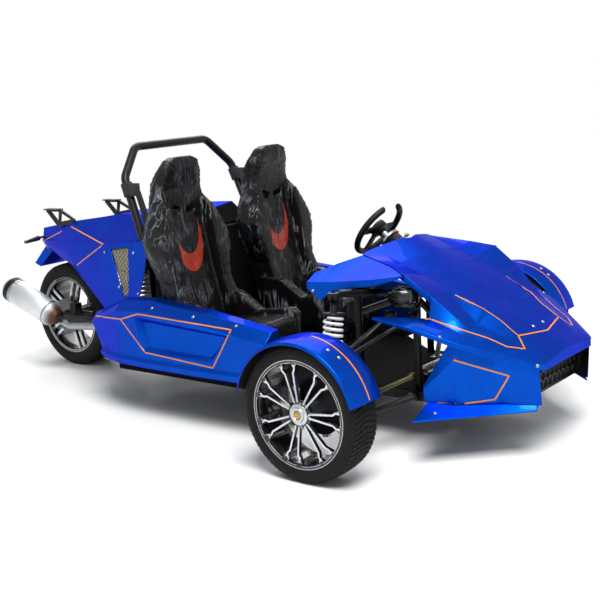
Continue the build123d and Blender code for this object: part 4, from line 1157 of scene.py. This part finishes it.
@dataclass
class Tyre:
    """Road tyre with rows of slanted tread blocks cut by grooves."""

    node: str
    bead_radius: float
    bead_half: float
    pitches: int
    block_edges: tuple[float, ...]
    groove: float = 0.0035
    groove_depth: float = 0.006
    crown_drop: float = 0.005
    slant: float = 1.1
    liner: float = 0.004
    tread_share: float = 0.95

    def build(self) -> Object:
        """Spin the section, cut the blocks and put the tyre on its wheel.

        Returns:
            The tyre.
        """
        low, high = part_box(self.node)
        middle = (low + high) / 2
        radius, half = (high.z - low.z) / 2, (high.y - low.y) / 2
        floor_radius = radius - self.groove_depth
        shoulder = self.block_edges[-1]
        tread = [(floor_radius - self.crown_drop * (v / shoulder) ** 2, v) for v in self.block_edges]
        rise = floor_radius - self.crown_drop - self.bead_radius
        # Radius and place across of each corner, from the shoulder down to the bead.
        wall = [
            (self.bead_radius + rise * 0.88, shoulder + (half - shoulder) * 0.62),
            (self.bead_radius + rise * 0.70, half - 0.002),
            (self.bead_radius + rise * 0.52, half),
            (self.bead_radius + rise * 0.36, half - 0.002),
            (self.bead_radius + rise * 0.33, half - 0.0035),
            (self.bead_radius + rise * 0.15, self.bead_half + (half - self.bead_half) * 0.55),
            (self.bead_radius, self.bead_half),
            (self.bead_radius - self.liner, self.bead_half),
        ]
        section = tread + wall + [(r, -v) for r, v in reversed(wall)]
        shape = lathe(section, self.pitches, closed=True)
        for vertex in shape.verts:
            vertex.co.rotate(Matrix.Rotation(self.slant * min(abs(vertex.co.z), shoulder), 3, "Z"))
        limit = self.bead_radius + rise * self.tread_share
        blocks = [face for face in shape.faces if all(
            v.co.xy.length > limit and abs(v.co.z) < shoulder + MM for v in face.verts)]
        bmesh.ops.inset_individual(shape, faces=blocks, thickness=self.groove, depth=self.groove_depth,
                                   use_even_offset=True)
        turn = pointing(Vector((0, 1, 0)))
        bmesh.ops.transform(shape, matrix=Matrix.Translation(middle) @ turn, verts=shape.verts)
        piece = place_piece(self.node + "_tread", shape, RUBBER, BODY_OF_NODE[self.node])
        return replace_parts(piece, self.node)


@dataclass
class FrontWheel:
    """What a front wheel wears beside its solids: tyre, bare hub cap with its ring, and wheel nuts."""

    side: Side
    bead_radius: float = 0.216
    bead_half: float = 0.071
    pitches: int = 76
    block_edges: tuple[float, ...] = (-0.071, -0.047, -0.027, -0.009, 0.009, 0.027, 0.047, 0.071)
    cap_face: float = 0.0735
    cap_profile: Pairs = (
        (0.0, 0.0050), (0.008, 0.0048), (0.0140, 0.0036), (0.0172, 0.0020), (0.0180, 0.0), (0.0, 0.0))
    ring_profile: Pairs = (
        (0.0182, -0.004), (0.0182, 0.0010), (0.0205, 0.0042), (0.0290, 0.0040), (0.0315, -0.0010),
        (0.0400, -0.0025), (0.0440, -0.0050), (0.0440, -0.0072), (0.0182, -0.0072), (0.0182, -0.004))
    turned_steps: int = 32
    nut_circle: float = 0.0500
    # Radius at the foot, radius at the top and height.
    nut: Point = (0.0055, 0.0044, 0.012)
    nut_face: float = 0.068
    nuts: int = 5

    def build(self) -> None:
        """Make the tyre, the cap with its ring and the nuts."""
        tag = self.side.tag
        tyre = f"front_tyre_{tag}"
        body = BODY_OF_NODE[tyre]
        low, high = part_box(tyre)
        middle, outward = (low + high) / 2, Vector((0, self.side.value, 0))
        Tyre(tyre, self.bead_radius, self.bead_half, self.pitches, self.block_edges).build()
        face = middle + outward * self.cap_face
        for name, profile, finish, slot in (("cap", self.cap_profile, BRASS, "gold_zinc"),
                                            ("ring", self.ring_profile, ALUMINIUM, "aluminium")):
            shape = spun(profile, self.turned_steps, face, outward)
            place_piece(f"hub_{name}_{tag}", shape, finish, body)
        nuts = bolt_ring(middle + outward * self.nut_face, outward, self.nut_circle, self.nuts, self.nut)
        place_piece(f"wheel_nuts_{tag}", nuts, STEEL, body)


@dataclass
class RearWheel:
    """The wide rear tyre and the bright faces of the wheel's bars."""

    bead_radius: float = 0.216
    bead_half: float = 0.096
    pitches: int = 80
    block_edges: tuple[float, ...] = (-0.094, -0.066, -0.042, -0.014, 0.014, 0.042, 0.066, 0.094)
    bars: int = 5
    # Radius of each end of a bar, and degrees from the middle of its pair.
    bar_from: Pair = (0.104, 12.5)
    bar_to: Pair = (0.206, 6.4)
    bar_width: float = 0.019
    bar_thickness: float = 0.005
    bar_rounding: float = 0.0012
    bar_y: float = -0.0875

    def bar_faces(self) -> BMesh:
        """Turned bright faces of the paired bars on the right-hand side.

        Returns:
            The ten faces.
        """
        low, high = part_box("rear_rim")
        axle = Vector(((low.x + high.x) / 2, self.bar_y, (low.z + high.z) / 2))
        shape = bmesh.new()
        for i in range(self.bars):
            for side in Side:
                ends = []
                for radius, turn in (self.bar_from, self.bar_to):
                    angle = math.tau * i / self.bars + side.value * math.radians(turn)
                    ends.append(axle + Vector((math.cos(angle), 0, -math.sin(angle))) * radius)
                middle, along = (ends[0] + ends[1]) / 2, ends[1] - ends[0]
                place = facing(middle, Vector((0, -1, 0)), along.normalized())
                size = Vector((self.bar_width, along.length, self.bar_thickness))
                add_block(shape, place, size, self.bar_rounding, 2)
        return shape

    def build(self) -> None:
        """Make the tyre and the bright faces of the bars."""
        Tyre("rear_tyre", self.bead_radius, self.bead_half, self.pitches, self.block_edges).build()
        place_piece("rear_bar_faces", self.bar_faces(), ALUMINIUM, "rear_wheel")


@dataclass
class Seats:
    """Foam buckets in black vinyl, each swollen by pressure as its cover is."""

    voxel: float = 0.0065
    pressure: float = 4.0
    frames: int = 20
    most_swell: float = 0.007
    fill: float = 0.6

    def pad(self) -> Object:
        """The right-hand bucket, remeshed from its solid.

        Returns:
            The piece before it is swollen.
        """
        piece = place_piece("seat_pad_right", node_shape("seat_right"), VINYL, "chassis")
        cells = piece.modifiers.new("cells", "REMESH")
        cells.mode = "VOXEL"
        cells.voxel_size = self.voxel
        self.apply(piece)
        return piece

    def apply(self, piece: Object) -> None:
        """Make the modifiers' result the piece's own mesh.

        Args:
            piece: the piece.
        """
        shown = piece.evaluated_get(bpy.context.evaluated_depsgraph_get())
        mesh = bpy.data.meshes.new_from_object(shown)
        piece.modifiers.clear()
        piece.data = mesh
        mesh.shade_smooth()

    def swell(self, piece: Object) -> None:
        """Press the cover out by cloth simulation, no further than the cap.

        Args:
            piece: the remeshed bucket.
        """
        cloth = piece.modifiers.new("cover", "CLOTH")
        cloth.settings.quality = 4
        cloth.settings.use_pressure = True
        cloth.settings.uniform_pressure_force = self.pressure
        cloth.settings.effector_weights.gravity = 0
        cloth.point_cache.frame_end = self.frames
        rest = [v.co.copy() for v in piece.data.vertices]
        scene = bpy.context.scene
        for number in range(1, self.frames + 1):
            scene.frame_set(number)
        shown = piece.evaluated_get(bpy.context.evaluated_depsgraph_get())
        moved = [v.co.copy() for v in shown.data.vertices]
        piece.modifiers.clear()
        for vertex, start, end in zip(piece.data.vertices, rest, moved):
            step = end - start
            vertex.co = start + step * min(1.0, self.most_swell / max(step.length, MERGE_GAP))
        scene.frame_set(1)

    def build(self) -> None:
        """Make both buckets from the one that is simulated."""
        right = self.pad()
        self.swell(right)
        shape = bmesh.new()
        shape.from_mesh(right.data)
        left = place_piece("seat_pad_left", mirrored(shape), VINYL, "chassis")
        shape.free()
        for side, piece in ((Side.RIGHT, right), (Side.LEFT, left)):
            piece.data.shade_smooth()
            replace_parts(piece, f"seat_{side.tag}")


@dataclass
class Cockpit:
    """Gauge face and switches at the steering column."""

    hub: Point = (0.595, 0.235, 0.832)
    axis: Point = (-0.798636, 0.0, 0.601815)
    gauge_back: float = 0.080
    bezel: Pairs = (
        (0.040, 0.001), (0.040, 0.006), (0.044, 0.009), (0.0495, 0.007), (0.0505, -0.004), (0.0490, -0.004),
        (0.0485, 0.001), (0.040, 0.001))
    dial: Pairs = (
        (0.0, 0.0035), (0.030, 0.0032), (0.0405, 0.002), (0.0405, 0.0005), (0.0, 0.0005))
    switch_pixel: Pair = (397.0, 231.0)
    switch_size: Point = (0.012, 0.022, 0.016)
    switch_rounding: float = 0.002
    knob_pixel: Pair = (410.0, 231.0)
    knob: Pairs = (
        (0.0, 0.030), (0.008, 0.030), (0.011, 0.027), (0.011, 0.014), (0.006, 0.010), (0.005, -0.004),
        (0.0, -0.004))
    gauge_steps: int = 40
    knob_steps: int = 24

    def controls(self) -> None:
        """Set the rocker switch and the pull knob beside the column."""
        skin = Skin(("dash", "steering_column"))
        spot, outward = skin.nearest_to_ray(self.switch_pixel)
        shape = bmesh.new()
        place = facing(spot, outward, Vector(self.axis))
        add_block(shape, place, Vector(self.switch_size), self.switch_rounding, 3)
        place_piece("rocker_switch", shape, ORANGE_PLASTIC, "chassis")
        spot, outward = skin.nearest_to_ray(self.knob_pixel)
        knob = spun(self.knob, self.knob_steps, spot, outward)
        place_piece("pull_knob", knob, ALUMINIUM, "chassis")

    def build(self) -> None:
        """Make the gauge's bezel, its blank glass and the controls."""
        axis = Vector(self.axis)
        face = Vector(self.hub) - axis * self.gauge_back
        for name, profile, finish, slot in (("bezel", self.bezel, ALUMINIUM, "aluminium"),
                                            ("glass", self.dial, LAMP_BLACK, "lamp_black")):
            place_piece(f"gauge_{name}", spun(profile, self.gauge_steps, face, axis), finish, "chassis")
        self.controls()


@dataclass
class FrontBay:
    """Lamp fronts and the radiator's finned core in the front bay."""

    lens: Pairs = (
        (0.0, 0.012), (0.018, 0.0105), (0.032, 0.006), (0.040, 0.0), (0.040, -0.003), (0.0, -0.003))
    rim: Pairs = (
        (0.0400, -0.004), (0.0400, 0.003), (0.0425, 0.006), (0.0465, 0.004), (0.0470, -0.004),
        (0.0400, -0.004))
    lamp_steps: int = 36
    lamp_front: float = 1.170
    lamp_y: float = 0.360
    lamp_z: float = 0.648
    core_cells: tuple[int, int] = (44, 22)
    core_margin: float = 0.012
    core_wall: float = 0.0012
    core_sink: float = 0.004
    core_lift: float = 0.005

    def radiator_core(self) -> None:
        """Lay the finned core on the front and back of the radiator."""
        for name, sign in (("front", 1), ("back", -1)):
            core = cell_panel("radiator", sign, self.core_cells, self.core_margin, self.core_wall,
                              -self.core_sink, self.core_lift)
            place_piece(f"radiator_core_{name}", core, CASTING, "chassis")

    def build(self) -> None:
        """Put a lens and a rim on each headlamp, and the core on the radiator."""
        self.radiator_core()
        for side in Side:
            face = Vector((self.lamp_front, side.value * self.lamp_y, self.lamp_z))
            for name, profile, finish in (("lens", self.lens, CLEAR_LENS), ("rim", self.rim, LAMP_BLACK)):
                front = spun(profile, self.lamp_steps, face, Vector((1, 0, 0)))
                place_piece(f"lamp_{name}_{side.tag}", front, finish, "chassis")


@dataclass
class Silencer:
    """End cap with the outlet, and bands of the muffler."""

    axis: Point = SILENCER_AXIS
    end: Point = (-1.643, -0.300, 0.480)
    steps: int = 48
    cap: Pairs = (
        (0.0725, -0.036), (0.0745, -0.034), (0.0745, -0.010), (0.0700, 0.001), (0.0610, 0.010),
        (0.0570, 0.0150), (0.0400, 0.0155), (0.0300, 0.0150), (0.0290, 0.0142), (0.0, 0.0142))
    band: Pairs = (
        (0.0720, -0.006), (0.0742, -0.005), (0.0742, 0.005), (0.0720, 0.006), (0.0720, -0.006))
    band_places: tuple[float, ...] = (-0.044, -0.318)

    def build(self) -> None:
        """Make the cap and the bands."""
        axis, end = Vector(self.axis), Vector(self.end)
        cap = spun(self.cap, self.steps, end, axis)
        place_piece("silencer_cap", cap, MOULDED, "chassis")
        for number, along in enumerate(self.band_places):
            band = spun(self.band, self.steps, end + axis * along, axis)
            place_piece(f"silencer_band_{number}", band, STEEL, "chassis")


@dataclass
class TailLamp:
    """Ribbed red lens on the lamp across the tail."""

    cells: tuple[int, int] = (16, 4)
    margin: float = 0.006
    wall: float = 0.0012
    rise: float = 0.0025
    lift: float = 0.0005

    def build(self) -> None:
        """Lay the lens on the lamp's rear face."""
        shape = cell_panel("tail_lamp", -1, self.cells, self.margin, self.wall, self.rise, self.lift)
        place_piece("tail_lens", shape, RED_LENS, "chassis")


@dataclass
class EngineDress:
    """Cooling fins and a round side cover on the engine block."""

    fins: int = 9
    fin_thickness: float = 0.0035
    fin_reach: float = 0.010
    fin_from: float = 0.52
    fin_to: float = 0.97
    cover: Pairs = (
        (0.0, 0.024), (0.050, 0.023), (0.072, 0.019), (0.082, 0.012), (0.084, 0.0), (0.094, -0.001),
        (0.094, -0.006), (0.0, -0.006))
    cover_steps: int = 40
    cover_height: float = 0.28
    bolts: int = 8
    bolt_circle: float = 0.089
    # Radius at the foot, radius at the top and height.
    bolt: Point = (0.006, 0.006, 0.006)
    bolt_lift: float = 0.002

    def build(self) -> None:
        """Make the fins, the cover and its bolts."""
        low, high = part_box("engine")
        middle, size = (low + high) / 2, high - low
        shape = bmesh.new()
        for i in range(self.fins):
            share = self.fin_from + (self.fin_to - self.fin_from) * i / (self.fins - 1)
            place = Matrix.Translation((middle.x, middle.y, low.z + size.z * share))
            reach = Vector((size.x + 2 * self.fin_reach, size.y + 2 * self.fin_reach, self.fin_thickness))
            bmesh.ops.create_cube(shape, size=1.0, matrix=place @ Matrix.Diagonal(reach.to_4d()))
        place_piece("engine_fins", shape, CASTING, "chassis")
        face = Vector((middle.x, low.y, low.z + size.z * self.cover_height))
        outward = Vector((0, -1, 0))
        cover = spun(self.cover, self.cover_steps, face, outward)
        place_piece("engine_cover", cover, CASTING, "chassis")
        heads = bolt_ring(face + outward * self.bolt_lift, outward, self.bolt_circle, self.bolts, self.bolt)
        place_piece("engine_cover_bolts", heads, STEEL, "chassis")


@dataclass
class Studio:
    """Pale floor, white surround, soft lights and the camera."""

    white: str = "#ffffff"
    floor_colour: str = "#f3f3f1"
    floor_shade: str = "#efefed"
    floor_reach: float = 40.0
    sky: str = "#f2f6ff"
    sky_strength: float = 0.36
    ceiling: float = 0.6
    dusk_from: float = 0.10
    dusk_to: float = 0.75
    bare_from: float = 2.4
    bare_to: float = 5.0
    key_power: float = 900.0
    key_size: float = 4.0
    key_place: Point = (3.6, -3.0, 7.6)
    back_power: float = 360.0
    back_size: float = 6.0
    back_place: Point = (-3.0, 3.4, 5.6)
    aim: Point = (0.1, 0.0, 0.5)

    def floor(self) -> None:
        """Lay the floor under the wheels."""
        shape = bmesh.new()
        bmesh.ops.create_grid(shape, x_segments=1, y_segments=1, size=self.floor_reach)
        mesh = bpy.data.meshes.new("studio_floor")
        shape.to_mesh(mesh)
        shape.free()
        surface = Finish("painted_floor", self.floor_colour, self.floor_shade, 0.0, 0.7, 0.05, 3.0, 0.02,
                         400.0)
        material = surface.material()
        self.fade_to_white(material.node_tree)
        mesh.materials.append(material)
        floor = bpy.data.objects.new("studio_floor", mesh)
        bpy.context.scene.collection.objects.link(floor)

    def seen(self, tree: NodeTree) -> NodeSocket:
        """One on what the camera sees straight, in a reflection or through glass.

        Args:
            tree: nodes of the floor's material or of the world.

        Returns:
            Share socket.
        """
        path = add_node(tree, "LightPath")
        share = path["Is Camera Ray"]
        for kind in ("Is Glossy Ray", "Is Transmission Ray"):
            share = add_node(tree, "Math", links={0: share, 1: path[kind]}, operation="MAXIMUM")[0]
        return share

    def fade_to_white(self, tree: NodeTree) -> None:
        """Let the floor go over into the white surround away from the vehicle and its shadow.

        Args:
            tree: nodes of the floor's material.
        """
        output = next(node for node in tree.nodes if node.type == "OUTPUT_MATERIAL")
        lit = output.inputs["Surface"].links[0].from_socket
        place = add_node(tree, "TexCoord")["Object"]
        far = add_node(tree, "VectorMath", links={0: place}, operation="LENGTH")["Value"]
        span = {"From Min": self.bare_from, "From Max": self.bare_to}
        bare = add_node(tree, "MapRange", span, {"Value": far}, interpolation_type="SMOOTHSTEP")["Result"]
        share = add_node(tree, "Math", links={0: self.seen(tree), 1: bare}, operation="MULTIPLY")[0]
        glow = add_node(tree, "Emission", {"Color": linear(self.white), "Strength": 1.0})[0]
        mixed = add_node(tree, "MixShader", links={0: share, 1: lit, 2: glow})[0]
        tree.links.new(mixed, output.inputs["Surface"])

    def lamp(self, name: str, place: Point, size: float, power: float) -> None:
        """Hang one soft light that faces the vehicle.

        Args:
            name: the light's name.
            place: where it hangs.
            size: side of the square panel.
            power: watts.
        """
        data = bpy.data.lights.new(name, "AREA")
        data.size, data.energy = size, power
        light = bpy.data.objects.new(name, data)
        light.location = place
        light.rotation_euler = (Vector(self.aim) - Vector(place)).to_track_quat("-Z", "Y").to_euler()
        bpy.context.scene.collection.objects.link(light)

    def surround(self) -> None:
        """White for the camera and for reflections, and a softer light on the object."""
        world = bpy.data.worlds.new("white_surround")
        bpy.context.scene.world = world
        world.use_nodes = True
        tree = world.node_tree
        tree.nodes.clear()
        soft = add_node(tree, "Background", {"Color": linear(self.sky), "Strength": self.sky_strength})[0]
        up = add_node(tree, "SeparateXYZ", links={"Vector": add_node(tree, "TexCoord")["Generated"]})["Z"]
        dusk = {"From Min": self.dusk_from, "From Max": self.dusk_to, "To Min": 1.0, "To Max": self.ceiling}
        level = add_node(tree, "MapRange", dusk, {"Value": up}, interpolation_type="SMOOTHSTEP")["Result"]
        bright = add_node(tree, "Background", {"Color": linear(self.white)}, {"Strength": level})[0]
        mixed = add_node(tree, "MixShader", links={0: self.seen(tree), 1: soft, 2: bright})[0]
        add_node(tree, "OutputWorld", links={"Surface": mixed})

    def build(self) -> None:
        """Set the whole studio up."""
        self.floor()
        self.surround()
        self.lamp("key_light", self.key_place, self.key_size, self.key_power)
        self.lamp("back_light", self.back_place, self.back_size, self.back_power)
        PhotoCamera().build()


def main() -> None:
    """Build the sub-assemblies in order and report each piece."""
    logging.basicConfig(level=logging.INFO, format="%(message)s")
    bpy.context.scene.view_settings.view_transform = "Standard"
    assemblies = [
        Pinstripes(), PanelBolts(), BodyPanels(), DressedNodes(), *(FrontWheel(side) for side in Side),
        RearWheel(), Seats(), Cockpit(), FrontBay(), Silencer(), TailLamp(), EngineDress(), Studio(),
    ]
    for assembly in assemblies:
        assembly.build()
        LOG.info("built %s", type(assembly).__name__)


if __name__ == "__main__":
    main()
